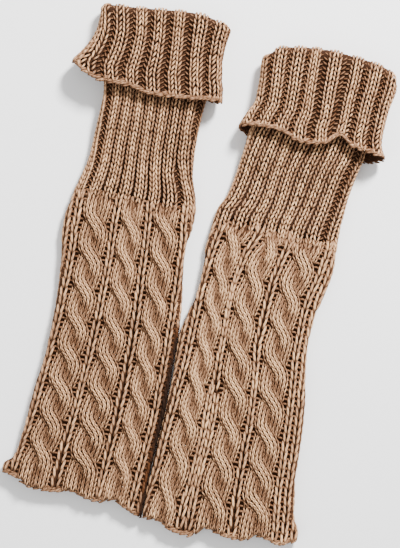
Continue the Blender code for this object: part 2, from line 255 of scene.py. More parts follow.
# %% [markdown]
# ## The cloth as a surface
#
# A tube that lies flat has a straight top, a straight underside and a half round at each
# side. Each section is worked out from its two edges and its height. Around is a distance
# along the cloth of a section, from the middle of its front.

# %% Flattened sections
MM = 0.001
WALL = 3.5
HOLLOW = 2.0
LAYER_GAP = 0.4
LEG_HEIGHT = 2 * WALL + HOLLOW
BACK_FROM = 0.7
BACK_SQUEEZE = 0.45
BACK_YARN = 0.95
SIDE_SQUEEZE = 0.55


class Section:
    """Flattened rings of cloth: straight on top and below, half round at both sides."""

    def __init__(self, left, right, base, height):
        self.middle = (left + right) / 2
        self.radius = height / 2
        self.straight = (right - left) / 2 - self.radius
        self.base = base
        self.half_front = self.straight + math.pi * self.radius / 2
        self.full = 2 * self.half_front

    def wrapped(self, around):
        return (around + self.full) % (2 * self.full) - self.full

    def point(self, around, lift):
        """(across, up) at places around the rings, lifted outwards from their cloth."""
        around = self.wrapped(around)
        on_back = np.abs(around) > self.half_front
        place = np.where(on_back, np.copysign(self.full - np.abs(around), around), around)
        turn = np.maximum(np.abs(place) - self.straight, 0.0) / self.radius
        reach = self.radius + lift
        side = np.minimum(np.abs(place), self.straight) + reach * np.sin(turn)
        rise = np.where(on_back, -1, 1) * reach * np.cos(turn)
        return self.middle + np.copysign(side, place), self.base + self.radius + rise

    def depth(self, around):
        """How far round the side a place is: 0 on top, a half at the fold and 1 below."""
        around = self.wrapped(around)
        return np.clip((np.abs(around) - self.straight) / (math.pi * self.radius), 0, 1)

    def beside(self, around, start=0.0):
        """1 at the folds of the sides, 0 on top and below."""
        return ease(4 * self.depth(around) - start) * ease(4 - 4 * self.depth(around))

    def below(self, around):
        """1 on the underside, 0 on top."""
        return ease(2 * self.depth(around) - BACK_FROM)

    def pressed(self, around, lift, most):
        """The lift of a yarn's middle, less at the sides, and pressed flat on the underside."""
        depth = self.depth(around)
        squeeze = SIDE_SQUEEZE * ease(2 * np.minimum(depth, 1 - depth))
        flat = BACK_SQUEEZE * (lift + BACK_YARN - most) - BACK_YARN
        return mix(lift * (1 - squeeze), flat, self.below(around))

    def share(self, across):
        return (across - self.middle) / (self.straight + self.radius)


girth = 2 * Section(-60.0, 60.0, 0.0, LEG_HEIGHT).full
print("round a flat tube 120 mm wide, in mm:", round(girth, 1))

# %% [markdown]
# With a section at every place along, any stitch gets its point in space from a place along,
# a place around and a lift off the cloth. Near the hem the rows follow its waves, and beside
# the right tube's first cable they follow the soft folds.

# %% Places on the leg and the neck
HEM_FADE = 60.0
FOLD_FADE = 30.0
NECK_LIFT = WALL + LAYER_GAP
NECK_BASE = Table(("along", "base"), (300, 0.0), (334, NECK_LIFT), (430, NECK_LIFT))


def floor_point(leg, along, across, up):
    """Places in a tube's own frame, in millimetres, as points over the floor in metres."""
    turn = math.radians(leg["turn"])
    x = leg["hem_middle"][0] + along * math.sin(turn) + across * math.cos(turn)
    y = leg["hem_middle"][1] + along * math.cos(turn) - across * math.sin(turn)
    return MM * np.stack(np.broadcast_arrays(x, y, up), axis=-1)


def leg_section(leg, along):
    edges = leg["edges"]
    base = NECK_BASE.at("base", along)
    return Section(edges.at("left", along), edges.at("right", along), base, LEG_HEIGHT)


def leg_place(leg, along, around, lift):
    """Points on the leg or the neck, where the rows near the hem follow its waves."""
    section = leg_section(leg, along)
    across, up = section.point(around, lift)
    fade = 1 - ease(along / HEM_FADE)
    along = along + fade * leg["hem"].at("along", section.share(across))
    return floor_point(leg, along, across, up)


def fold_rise(leg, across, along):
    """The soft ridges and troughs that the cloth lies in, which follow the first cable."""
    rise = 0.0
    for fold in leg["folds"]:
        middle = leg["cables"].at("first", along) + fold["offset"]
        near = 1 - np.abs(across - middle) / fold["half_width"]
        ends = ease((along - fold["from"]) / FOLD_FADE) * ease((fold["to"] - along) / FOLD_FADE)
        rise = rise + fold["rise"] * ease(near) * ends
    return rise


for side, leg in (("left", LEFT), ("right", RIGHT)):
    girth = [round(float(2 * leg_section(leg, np.array(a)).full)) for a in (0, 131, 262, 340)]
    print(f"{side} tube, round its cloth at the hem, half way, rib and neck: {girth} mm")

# %% [markdown]
# The cuff is a wider section outside the neck. Its cloth is measured upwards from its loose
# edge. Past the rim it goes over a small round fold, and from there down inside, so one
# distance v leads over the whole cuff.

# %% Places on the cuff
CUFF_HEIGHT = LEG_HEIGHT + 2 * (WALL + LAYER_GAP)
CUFF_STANDS = Table(("share", "height"), (0.0, 20.8), (0.3, 19.0), (1.0, CUFF_HEIGHT))
CUFF_HALF_UP = 0.5
FOLD_RADIUS = WALL + LAYER_GAP / 2
BEHIND_FADE = 12


def cuff_section(leg, along, share_up):
    edges = leg["cuff_edges"]
    height = CUFF_STANDS.at("height", share_up)
    return Section(edges.at("left", along), edges.at("right", along), 0.0, height)


def section_up_cuff(leg, v):
    """The cuff's section v up its cloth, as high as the cuff stands half way up."""
    return cuff_section(leg, leg["cuff_line"].at("along", 0) + v, CUFF_HALF_UP)


def rim_along(leg, across):
    """The line on which the neck ends inside the cuff."""
    top = cuff_section(leg, leg["fold_line"].at("along", 0), 1)
    return leg["fold_line"].at("along", top.share(across)) - WALL - LAYER_GAP / 2


def cuff_ends(leg, v, around):
    """(section, low, rim): the cuff's section v up its cloth, and where it ends there."""
    section = section_up_cuff(leg, v)
    across = section.point(around, 0)[0]
    share = section.share(across)
    behind = (np.abs(section.wrapped(around)) - section.half_front) / BEHIND_FADE
    front_low = leg["cuff_line"].at("along", share)
    low = mix(front_low, leg["cuff_back_line"].at("along", share), ease(behind + 0.5))
    return section, low, rim_along(leg, across)


def cuff_place(leg, v, around, lift):
    """Points on the cuff, v up the cloth from its loose edge, and on over its top fold."""
    section, low, rim = cuff_ends(leg, v, around)
    turn = np.clip((v - (rim - low)) / FOLD_RADIUS, 0, math.pi)
    along = np.minimum(low + v, rim)
    shape = cuff_section(leg, along, np.clip(v / (rim - low), 0, 1))
    around = around * shape.half_front / section.half_front
    reach = lift * np.cos(turn) - FOLD_RADIUS * (1 - np.cos(turn))
    across, up = shape.point(around, reach)
    return floor_point(leg, along + (FOLD_RADIUS + lift) * np.sin(turn), across, up)


def cuff_length(leg):
    """The length of the cuff's cloth, from its loose edge up to its fold, on the middle."""
    return float(rim_along(leg, 0) - leg["cuff_line"].at("along", 0))


print("length of each cuff in mm:", [round(cuff_length(leg), 1) for leg in (LEFT, RIGHT)])

# %% [markdown]
# ## Yarn
#
# A knitted stitch shows as two short arms of yarn in a V. An arm is a tube with a bent
# middle line: it comes out from under the stitch below, leans outwards, and dives again.
# Thousands are needed, so each piece is made as one joined mesh, straight from arrays. Each
# tube is only a few dozen faces: rings of four or five points with a small cap at both ends.

# %% Faces of many tubes
rng = np.random.default_rng(7)


def unit(vectors):
    return vectors / np.maximum(np.linalg.norm(vectors, axis=-1, keepdims=True), 1e-12)


def side_and_ring(points, sides):
    """For each quad of a tube, the side it lies on and the ring it starts from."""
    side, ring = np.meshgrid(np.arange(sides), np.arange(points - 1))
    return side.ravel(), ring.ravel()


def quads_and_caps(count, points, sides):
    """Vertex numbers of the faces of many equal tubes: the quads, then both caps."""
    s, p = side_and_ring(points, sides)
    ahead = (s + 1) % sides
    quads = np.stack([p * sides + s, p * sides + ahead, (p + 1) * sides + ahead, (p + 1) * sides + s])
    first = np.arange(sides)[::-1]
    last = (points - 1) * sides + np.arange(sides)
    shift = (np.arange(count) * points * sides)[:, None]
    return quads.T[None] + shift[:, :, None], first[None] + shift, last[None] + shift


print("faces of one arm on the front:", quads_and_caps(1, 5, 5)[0].shape[1] + 2)

# %% [markdown]
# Two UV maps go with the tubes. One measures along and round the yarn, so that its twist
# follows every bend. The other gives each arm its own cell, for baking: the side of the tube
# fills most of the cell, and its two caps lie above it.

# %% Maps of many tubes
CELL_LEFT, CELL_WIDE = 0.06, 0.88
CELL_LOW, CELL_TALL = 0.05, 0.75
CAP_RADIUS = 0.06
CAP_FIRST, CAP_LAST = (0.25, 0.9), (0.75, 0.9)


def atlas_maps(count, points, sides, lengths, girth):
    """For each face corner, its place along and round the yarn, and its place in a cell."""
    s, p = side_and_ring(points, sides)
    round_share = np.stack([s, s + 1, s + 1, s], axis=-1) / sides
    steps = np.stack([p, p, p + 1, p + 1], axis=-1)
    along = lengths[:, steps]
    yarn = np.stack([np.broadcast_to(round_share * girth, along.shape), along], axis=-1)
    across = math.ceil(math.sqrt(count))
    column, row = np.arange(count) % across, np.arange(count) // across
    cell = np.stack([column, row], axis=-1)[:, None, None, :]
    up_cell = CELL_LOW + CELL_TALL * steps / (points - 1)
    body = np.stack([CELL_LEFT + CELL_WIDE * round_share, up_cell], axis=-1)
    angle = 2 * math.pi * np.arange(sides) / sides
    circle = CAP_RADIUS * np.stack([np.cos(angle), np.sin(angle)], axis=-1)
    first = (circle[::-1] + CAP_FIRST)[None, None]
    last = (circle + CAP_LAST)[None, None]
    cells = [(part + cell) / across for part in (body[None], first, last)]
    ends = [np.zeros((count, 1, sides, 2)), np.zeros((count, 1, sides, 2))]
    ends[1][..., 1] = lengths[:, -1][:, None, None]
    return [yarn, *ends], cells


example = atlas_maps(9, 5, 5, np.zeros((9, 5)), 4.0)[1][0]
print("cells of nine arms reach up to, as a share of the map:", round(float(example.max()), 2))

# %% [markdown]
# The mesh itself is a ring of points round the middle line at each of its points. Two
# numbers are stored with every point: its painted shade, which is darker where it lies deep
# and on the underside of its tube, and a tone that differs a little from arm to arm.

# %% Tubes of yarn as one mesh
# how dark the underside of each tube is painted, as shade
UNDERSIDE_PAINTED_SHADE = 0.2


def mesh_object(name, verts, faces):
    """A smooth mesh with an object, linked to the scene."""
    mesh = bpy.data.meshes.new(name)
    mesh.from_pydata(verts.reshape(-1, 3), [], faces)
    mesh.shade_smooth()
    thing = bpy.data.objects.new(name, mesh)
    bpy.context.scene.collection.objects.link(thing)
    return thing


def store(mesh, label, values):
    """Keeps a number with every point, for the materials to read."""
    attribute = mesh.attributes.new(label, "FLOAT", "POINT")
    attribute.data.foreach_set("value", values.astype(np.float32).ravel())


def yarn_mesh(name, centre, normal, radius, sides, shade, tone):
    """One object of tubes: centre and normal are arms by points by 3, the rest fit them."""
    count, points = centre.shape[:2]
    tangent = unit(np.gradient(centre, axis=1))
    beside = unit(np.cross(tangent, normal))
    up = np.cross(beside, tangent)
    angle = 2 * math.pi * (np.arange(sides) + 0.5) / sides
    out = np.cos(angle)[:, None] * up[:, :, None, :] + np.sin(angle)[:, None] * beside[:, :, None, :]
    verts = centre[:, :, None, :] + MM * radius[:, :, None, None] * out
    quads, first, last = quads_and_caps(count, points, sides)
    faces = quads.reshape(-1, 4).tolist() + first.tolist() + last.tolist()
    thing = mesh_object(name, verts, faces)
    lengths = np.zeros((count, points))
    lengths[:, 1:] = np.cumsum(np.linalg.norm(np.diff(centre, axis=1), axis=-1), axis=1) / MM
    girth = 2 * math.pi * float(radius.mean())
    yarn, cells = atlas_maps(count, points, sides, lengths, girth)
    for label, parts in (("Yarn", yarn), ("OFBake", cells)):
        layer = thing.data.uv_layers.new(name=label)
        spots = np.concatenate([part.reshape(-1, 2) for part in parts])
        layer.data.foreach_set("uv", spots.astype(np.float32).ravel())
    # the stored depth is painted shade: each arm's shade, painted darker still on its tube's underside
    depth = shade[:, :, None] * mix(UNDERSIDE_PAINTED_SHADE, 1.0, 0.5 + 0.5 * np.cos(angle))
    store(thing.data, "depth", depth)
    store(thing.data, "tone", tone[:, None, None] + 0 * depth)
    return thing


print("stored with every point: depth and tone")

# %% [markdown]
# ## Collecting arms
#
# Each part of the knitting adds arms to a basket: their middle lines, their thickness, and
# their painted shade. The basket finds the direction that points off the cloth, and is then
# made into one piece. Arms on the front get more points than those on the underside.

# %% A basket of arms
FRONT_POINTS = 5
BACK_POINTS = 4


class Basket:
    """Arms of yarn on one side of a tube, gathered until they are made into a mesh."""

    def __init__(self, leg, place, front):
        self.leg, self.front = leg, front
        self.place = partial(place, leg)
        self.points = self.sides = FRONT_POINTS if front else BACK_POINTS
        self.parts = []

    def add(self, v, around, lift, radius, shade, keep=None):
        """Adds arms whose points lie at v, around and lift, all arms by points."""
        v, around, lift = np.broadcast_arrays(v, around, lift)
        if keep is not None:
            keep = np.broadcast_to(keep, v.shape[:1])
            v, around, lift = v[keep], around[keep], lift[keep]
            radius = np.broadcast_to(radius, (len(keep), self.points))[keep]
            shade = np.broadcast_to(shade, (len(keep), self.points))[keep]
        if not len(v):
            return
        centre = self.place(v, around, lift)
        normal = unit(self.place(v, around, lift + 0.5) - centre)
        radius = np.broadcast_to(radius, v.shape)
        shade = np.broadcast_to(shade, v.shape)
        tone = rng.normal(0, 1, len(v))
        self.parts.append((centre, normal, radius, shade, tone))

    def made(self, name):
        centre, normal, radius, shade, tone = (np.concatenate(x) for x in zip(*self.parts))
        return yarn_mesh(name, centre, normal, radius, self.sides, shade, tone)


ARM_LENGTH = 1.3
ARM_LEAN = 0.1
ARM_TIP = 0.55
ARM_DIP = 1.15


def arm_form(points, middle=0.25, lean=ARM_LEAN, tip=ARM_TIP):
    """How one arm of a V runs, from its foot to its head, as shares of a row and a wale."""
    t = np.linspace(0, 1, points)
    rise = (t - 0.5) * ARM_LENGTH
    spread = middle - lean * np.cos(math.pi * t)
    dip = 1 - np.sin(math.pi * mix(0.1, 0.88, t))
    thick = mix(tip, 1.0, np.sin(math.pi * mix(0.08, 0.92, t)) ** 0.7)
    return rise, spread, dip, thick


for label, values in zip(("rise", "spread", "dip", "thickness"), arm_form(FRONT_POINTS)):
    print(f"an arm's {label}:", values.round(2).tolist())

# %% [markdown]
# ## Cables
#
# A cable is a rope of two strands, each four stitches wide. Every strand comes up from
# under its neighbour, swings out to the left, crosses over to the right and goes down under
# the next one. So a strand is a path with a height. Strands next to the ribs or the hem have
# no neighbour to dive under, so they run on straight there.

# %% Strands of the cables
CROSSINGS = 8
CABLE_TOP = 262.0
CABLE_RISE = 4.8
STRAND_ROW = 4.15
STRAND_SHARE = 0.54
CROSS_SPAN = 0.34
RETURN_FROM = 0.42
STRAND_RETURN = 0.68
STRAND_DIVE = 0.7
STRAND_LOW = 0.18
FREE_LOW = 0.78
STRAND_SHOWS = 1.04
RIB_MERGE = 15.0
SEAM_LIFT = 0.9


def merging(along):
    """1 where the cables merge with the ribs, 0 below."""
    return ease((along - (CABLE_TOP - RIB_MERGE)) / RIB_MERGE)


def turns(leg, name, number, along):
    """Places along a cable counted in crossings, from the crossing with this number."""
    rope = leg["ropes"][name]
    return (along - rope["crossing"]) / rope["pitch"] - number


def strand_line(leg, name, number, along):
    """(offset, height) of a strand's middle, both in millimetres, at places along a cable."""
    swing = (1 - STRAND_SHARE) * leg["halves"].at(name, along)
    t = turns(leg, name, number, along)
    crossing = np.sin(math.pi / 2 * np.clip(t / CROSS_SPAN, -1, 1))
    return_t = np.clip((np.abs(t) - RETURN_FROM) / (1 - RETURN_FROM), 0, 1)
    back = mix(1.0, STRAND_RETURN, ease(return_t))
    over = mix(STRAND_LOW, 1.0, np.cos(math.pi / 2 * np.clip(t, -1, 1)) ** STRAND_DIVE)
    free = ((number >= CROSSINGS - 1) & (t > 0)) | ((number <= 0) & (t < 0))
    free = free | (number == CROSSINGS) & (t > -RETURN_FROM)
    free = free | (number == -1) & (t < RETURN_FROM)
    side = np.where(number == CROSSINGS, -1.0, np.where(number == -1, 1.0, crossing))
    offset = -swing * side * np.where(free, 1.0, back)
    height = CABLE_RISE * np.where(free, np.maximum(over, FREE_LOW), over)
    return offset, mix(height, SEAM_LIFT, merging(along))


def strand_reach(leg, name, number):
    """From where to where a strand shows, as places along the cable."""
    rope = leg["ropes"][name]
    middle = rope["crossing"] + number * rope["pitch"]
    low = middle - STRAND_SHOWS * rope["pitch"] if number > 0 else 1.0
    high = middle + STRAND_SHOWS * rope["pitch"] if number < CROSSINGS - 1 else CABLE_TOP
    return max(low, 1.0), min(high, CABLE_TOP)


def strand_steps(leg, name, number):
    """Places along a strand one row apart, measured along its own path."""
    low, high = strand_reach(leg, name, number)
    along = np.linspace(low, high, 200)
    offset = strand_line(leg, name, number, along)[0]
    run = np.concatenate([[0], np.cumsum(np.hypot(np.diff(along), np.diff(offset)))])
    rows = np.arange(0.5 * STRAND_ROW, run[-1], STRAND_ROW)
    return rows, run, along


print("rows on the second strand of the first cable:", len(strand_steps(LEFT, "first", 1)[0]))

# %% [markdown]
# Two questions come up for every stitch of a cable: how high the rope's outer form is there,
# because what lies well under it can't be seen and is left out, and how far the stitch lies
# in the hollow that the photo shows in each lobe, below the strand that crosses over.

# %% The form of a cable
EYE_AT = -0.26
EYE_SLOPE = -0.86
EYE_WIDE = 0.32
EYE_STARTS, EYE_LONG = 0.03, 0.87
EYE_OWN_FROM, EYE_OWN_FADE = 0.35, 0.25


def cable_rise(leg, name, offset, along):
    """The height of a cable's outer form at an offset from its middle: the highest strand."""
    rise = np.zeros(np.broadcast(offset, along).shape)
    half = STRAND_SHARE * leg["halves"].at(name, along) + 0.4
    for number in range(-1, CROSSINGS + 1):
        middle, height = strand_line(leg, name, number, along)
        low, high = strand_reach(leg, name, number)
        inside = np.clip(1 - ((offset - middle) / half) ** 2, 0, 1)
        shown = (along > low) & (along < high)
        rise = np.maximum(rise, np.where(shown, height * np.sqrt(inside), 0))
    return rise


def cable_eye(leg, name, number, offset, along):
    """How far a place lies in the hollow of a lobe, below the strand that crosses over it."""
    half = leg["halves"].at(name, along)
    place = turns(leg, name, 0, along)
    above = np.ceil(place)
    below = place - above
    near = np.exp(-(((offset - half * (EYE_AT + EYE_SLOPE * below)) / (EYE_WIDE * half)) ** 2))
    strong = np.sin(math.pi * np.clip((-below - EYE_STARTS) / EYE_LONG, 0, 1))
    own = place - number
    strong = strong * np.where(own > 0, 1.0, ease((-own - EYE_OWN_FROM) / EYE_OWN_FADE))
    return near * strong * ((above < CROSSINGS) & (above >= 0))


peak = cable_rise(LEFT, "first", 0.0, np.array(LEFT["ropes"]["first"]["crossing"]))
print("height of a cable at its first crossing, in mm:", round(float(peak), 1))

# %% [markdown]
# The stitches sit in rows along each strand and in wales across its rounded back. They carry
# painted shade like the photo: dark where the strand dives and in the hollow of a lobe, and
# painted lighter on the outer side of the curve. The top rows end raggedly, where they merge
# with the ribs.

# %% Stitches of the cables
STRAND_WALES = 4
STRAND_FILLS = 0.94
STRAND_ROUND = 0.9
STRAND_YARN = 0.65
STRAND_SINK = 0.75
STRAND_SPREAD = 0.31
STRAND_LEAN = 0.12
HIDDEN_UNDER = 1.35
RAGGED = (-9.0, 4.0)
# painted shade and light of the strands: a set shade where the cables merge with the ribs, darker in
# the hollow of a lobe, where a strand dives and at its edges, and lighter on the outer side of each
# curve
SEAM_SHADE = 0.45
EYE_DEEP = 0.6
EYE_DARK = 0.72
DIVE_BEFORE, DIVE_AFTER, DIVE_OUTER = 0.4, 0.12, 0.75
EDGE_DARK = 0.2
OUTER_LIGHT = 0.7


def turned_under(section, offset):
    """An offset on the front as a distance around the cloth to the same place under it."""
    return np.where(offset > 0, section.full - offset, -section.full - offset)


def strand_shade(share, crown, dip, t, shown, eye):
    """The painted shade of the arms of a strand, 0 to 1. share and crown are over its back."""
    outer = ease(-1.5 * share * np.sign(t)) * ease((np.abs(t) - 0.1) / 0.3)
    shade = np.clip(1.0 - 0.8 * dip, 0, 1) * (1 - EYE_DARK * eye)
    dived = mix(np.where(t > 0, DIVE_AFTER, DIVE_BEFORE), DIVE_OUTER, outer)
    shade = shade * mix(dived, 1.0, shown)
    return shade * mix(mix(EDGE_DARK, 1.0, crown**1.2), 1.0, OUTER_LIGHT * outer)


def add_wale(basket, name, number, wale, hand):
    """The left or the right arms of one wale of a strand."""
    leg = basket.leg
    rise, spread, dip, thick = arm_form(basket.points, STRAND_SPREAD, STRAND_LEAN)
    rows, run, path = strand_steps(leg, name, number)
    top = CABLE_TOP + rng.uniform(*RAGGED)
    jitter = rng.normal(0, 0.16, (len(rows), 1))
    stagger = 0.5 * STRAND_ROW * (wale % 2)
    along = np.interp(rows[:, None] + rise * STRAND_ROW + jitter + stagger, run, path)
    middle, height = strand_line(leg, name, number, along)
    lean = (strand_line(leg, name, number, along + 0.5)[0] - middle) / 0.5
    slant = 1 / np.hypot(1, lean)
    share = (wale + 0.5 + hand * spread) * 2 / STRAND_WALES - 1
    crown = np.sqrt(1 - STRAND_ROUND * share**2)
    half = STRAND_FILLS * STRAND_SHARE * leg["halves"].at(name, along)
    offset = half * share + rng.normal(0, 0.08, (len(rows), 1))
    from_middle = middle + offset * slant
    across = leg["cables"].at(name, along) + from_middle
    over = cable_rise(leg, name, from_middle, along - offset * lean * slant)
    seen = (height * crown > over - HIDDEN_UNDER).any(axis=1)
    eye = cable_eye(leg, name, number, from_middle, along)
    up = height * crown - STRAND_YARN * (STRAND_SINK + ARM_DIP * dip) - EYE_DEEP * eye
    shown = mix(np.clip(height / CABLE_RISE, 0, 1), SEAM_SHADE, merging(along))
    t = turns(leg, name, number, along)
    shade = strand_shade(share, crown, dip, t, shown, eye)
    along = along - offset * lean * slant
    section = leg_section(leg, along)
    around = across - section.middle
    if not basket.front:
        around = turned_under(section, around)
    up = up + fold_rise(leg, across, along) * basket.front
    radius = STRAND_YARN * thick * rng.normal(1, 0.04, (len(rows), 1))
    keep = seen & (along.min(axis=1) > -1) & (along.max(axis=1) < top)
    basket.add(along, around, section.pressed(around, up, CABLE_RISE), radius, shade, keep)


def add_cable(basket, name):
    for number in range(-1, CROSSINGS + 1):
        for wale in range(STRAND_WALES):
            for hand in (-1, 1):
                add_wale(basket, name, number, wale, hand)


print("arms in each row of a strand:", 2 * STRAND_WALES)

# %% [markdown]
# ## Ladders and gutters
#
# Between the cables run columns of large, loose stitches: a single one, or two where the
# cables stand far apart. On both sides of each cable lies a narrow gutter of purl stitches,
# which show as low bumps across it. At the sides the columns carry on round the fold.

# %% Ladder columns and purl gutters
LADDER_ROW = 7.7
LADDER_YARN = 1.3
LADDER_LIFT = 2.3
LADDER_SPREAD = 0.26
LADDER_LEAN = 0.08
LADDER_TIP = 0.65
# how light the ladders' yarn is painted, as shade
LADDER_SHADE = 0.78
LADDERS_FROM, LADDERS_TO = 1.0, CABLE_TOP - 1
PURL_ROW = 4.15
PURL_YARN = 1.0
# painted shade of the purl bars: dark in the gutters, and darker at the ends of each bar
PURL_MIDDLE, PURL_ENDS = 0.28, 0.19


def column_rows(start, end, pitch):
    """Rows of a column, each a little out of step, as arms by one."""
    rows = np.arange(start + rng.uniform(0, 0.5) * pitch, end, pitch)
    return (rows + rng.normal(0, 0.05 * pitch, len(rows)))[:, None]


def on_side(basket, place):
    """The same place on the front, or under it on the back."""
    if basket.front:
        return place

    def behind(along):
        return turned_under(leg_section(basket.leg, along), place(along))

    return behind


def add_on_folds(basket, along, around, up, radius, shade, keep):
    """Adds arms that follow the cloth's soft folds and are pressed flat underneath."""
    section = leg_section(basket.leg, along)
    across = section.point(around, 0)[0]
    up = section.pressed(around, up + fold_rise(basket.leg, across, along), CABLE_RISE)
    kept = None if keep is None else keep(along).all(axis=1)
    basket.add(along, around, up, radius, shade + 0 * along, kept)


def add_column(basket, centre, width, keep):
    """A wale of V stitches. centre(along) gives its place around the front."""
    rise, spread, dip, thick = arm_form(basket.points, LADDER_SPREAD, LADDER_LEAN, LADDER_TIP)
    rows = column_rows(LADDERS_FROM + 0.5 * ARM_LENGTH * LADDER_ROW - 1, LADDERS_TO, LADDER_ROW)
    tilt = rng.normal(0, 0.03, rows.shape)
    high = rng.normal(0, 0.12, rows.shape)
    for hand in (-1, 1):
        along = rows + rise * LADDER_ROW + hand * tilt * LADDER_ROW
        wide = width(along)
        around = on_side(basket, centre)(along) + hand * spread * wide + tilt * wide
        up = LADDER_LIFT + high - LADDER_YARN * (1 + ARM_DIP * dip)
        radius = LADDER_YARN * thick * rng.normal(1, 0.05, rows.shape)
        # painted shade, darker towards both ends of each arm
        shade = LADDER_SHADE * np.clip(1 - 0.7 * dip, 0, 1)
        add_on_folds(basket, along, around, up, radius, shade, keep)


def add_purls(basket, centre, width, lift, keep=None):
    """A gutter of purl bumps: short bars across it, each arched towards the cuff."""
    t = np.linspace(-1, 1, basket.points)
    rows = column_rows(LADDERS_FROM, LADDERS_TO, PURL_ROW)
    along = rows + 0.28 * PURL_ROW * (1 - t**2)
    around = on_side(basket, centre)(along) + t * width / 2 + rng.normal(0, 0.1, rows.shape)
    up = lift - PURL_YARN - 0.6 * t**2
    radius = PURL_YARN * mix(1.0, 0.7, t**2) * rng.normal(1, 0.06, rows.shape)
    add_on_folds(basket, along, around, up, radius, mix(PURL_MIDDLE, PURL_ENDS, t**2), keep)


print("rows in a ladder column:", int((LADDERS_TO - LADDERS_FROM) / LADDER_ROW))

# %% [markdown]
# Every column and gutter keeps its distance to the edge of a cable, wherever that runs. A
# place along goes in and a place around comes out, and a second small function says where
# the column is shown at all.

# %% Columns between and beside the cables
BETWEEN = ((0.5, False), (0.27, True), (0.73, True))
DOUBLE_FROM = 12.2
DOUBLE_OVER = 0.3
COLUMN_APART = 0.8
COLUMN_LEAST = 3.0
LADDER_WALE = 6.6
LADDER_PITCH = 8.0
LADDER_OFF = 4.1
COLUMNS_BESIDE = 3
LAST_COLUMN = 2.5
GUTTER_IN = 0.9
GUTTER = {"width": 5.4, "lift": 0.7}
SIDE_GUTTER = {"width": 2.6, "lift": 0.9}


def cable_edge(leg, name, hand, along):
    """The place around the front, from its middle, of one edge of a cable."""
    middle = leg["cables"].at(name, along) - leg_section(leg, along).middle
    return middle + hand * leg["halves"].at(name, along)


def add_between(basket, left, right, share, double):
    """A column between two cables, shown where single or where double columns belong."""
    leg = basket.leg

    def gap(along):
        return cable_edge(leg, right, -1, along) - cable_edge(leg, left, 1, along)

    def centre(along):
        return cable_edge(leg, left, 1, along) + share * gap(along)

    def width(along):
        return np.maximum(gap(along) / (2 if double else 1) - COLUMN_APART, COLUMN_LEAST)

    def here(along):
        return (gap(along[:, :1]) > DOUBLE_FROM - DOUBLE_OVER * double) == double

    add_column(basket, centre, width, here)


def add_gutter(basket, name, hand):
    """The purl gutter along one edge of a cable."""

    def centre(along):
        return cable_edge(basket.leg, name, hand, along) - hand * GUTTER_IN

    add_purls(basket, centre, **GUTTER)


def add_beside(basket, name, hand, number):
    """A column outside the first or the third cable, with a gutter beyond it."""
    leg = basket.leg
    room_over = LAST_COLUMN if basket.front else -LAST_COLUMN

    def centre(along):
        return cable_edge(leg, name, hand, along) + hand * (LADDER_OFF + number * LADDER_PITCH)

    def beyond(along):
        off = LADDER_OFF + (number + 0.5) * LADDER_PITCH
        return cable_edge(leg, name, hand, along) + hand * off

    def width(along):
        return LADDER_WALE

    def here(along):
        room = leg_section(leg, along).half_front - np.abs(cable_edge(leg, name, hand, along))
        return LADDER_OFF + number * LADDER_PITCH < room + room_over

    add_column(basket, centre, width, here)
    add_purls(basket, beyond, keep=here, **SIDE_GUTTER)


def add_ladders(basket):
    """The columns between the cables and at both sides, with a gutter by each cable."""
    for left, right in (("first", "second"), ("second", "third")):
        for share, double in BETWEEN:
            add_between(basket, left, right, share, double)
    for name in CABLES[1:]:
        for hand in (-1, 1):
            add_gutter(basket, name, hand)
    for name, hand in (("first", -1), ("third", 1)):
        for number in range(COLUMNS_BESIDE):
            add_beside(basket, name, hand, number)


edge = float(cable_edge(LEFT, "third", 1, 131.0))
print("left third cable ends half way up at, in mm from the middle:", round(edge, 1))

# %% [markdown]
# ## The ribbed neck
#
# Ribs two stitches wide run from the cables up under the cuff. They are drawn together, so
# the purl gutters between them almost close, and only the outermost stand open. The two arms
# in the middle of a rib stand highest and catch the most light, and they are painted lighter
# too, while the outer arms are painted darker as shade.

# %% Gutters of the neck
RIBS_ROUND = 16
NECK_MIDDLE = 310.0
NECK_NARROWS = Table(("along", "gutter"), (262, 1.5), (285, 1.0), (315, 0.5), (350, 0.3))
OPEN_GUTTER = 4.8
OPEN_FADE = 12
ZIGZAG_YARN = 0.65


def neck_opens(leg, number, along):
    """1 where a gutter of the neck stands open and 0 where it is drawn shut."""
    table = leg["open_gutters"]
    if number not in table.places:
        return 0.0 * along
    opens, shuts = table.at("from", number), table.at("to", number)
    return ease((along - opens) / OPEN_FADE) * ease((shuts - along) / OPEN_FADE)


def neck_gutter(leg, number, along):
    """(place around, width) of one gutter of the neck, numbered from the left."""
    section = leg_section(leg, along)
    low, middle, top = (leg["neck_gutters"].at(name, number) for name in GUTTERS[1:])
    share = mix(low, middle, ease((along - CABLE_TOP) / (NECK_MIDDLE - CABLE_TOP)))
    share = mix(share, top, ease((along - NECK_MIDDLE) / 40))
    width = NECK_NARROWS.at("gutter", along)
    return share * section.half_front, mix(width, OPEN_GUTTER, neck_opens(leg, number, along))


def add_zigzag(basket, section, v, middle, width, row, shade, most, sunk=0.0):
    """A gutter of two purl columns, whose slanting bars make a zigzag."""
    t = np.linspace(-1, 1, basket.points)
    for hand in (-1, 1):
        up_cloth = v + row * (0.25 * hand - 0.3 * hand * t)
        around = middle + hand * 0.25 * width + t * 0.27 * width
        around = around + rng.normal(0, 0.08, v.shape)
        lift = 0.5 - ZIGZAG_YARN * (0.4 + 0.8 * t**2) + 0 * up_cloth
        lift = section.pressed(around, lift - sunk, most)
        radius = ZIGZAG_YARN * mix(1.0, 0.65, t**2) * rng.normal(1, 0.06, v.shape)
        # painted shade of the gutter, darker at the ends of each bar
        light = shade * mix(1.0, 0.5, t**2) + 0 * up_cloth
        basket.add(up_cloth, around, lift, radius, light)


open_gutters = [leg["open_gutters"].places.astype(int).tolist() for leg in (LEFT, RIGHT)]
print("gutters of the necks that stand open:", open_gutters)

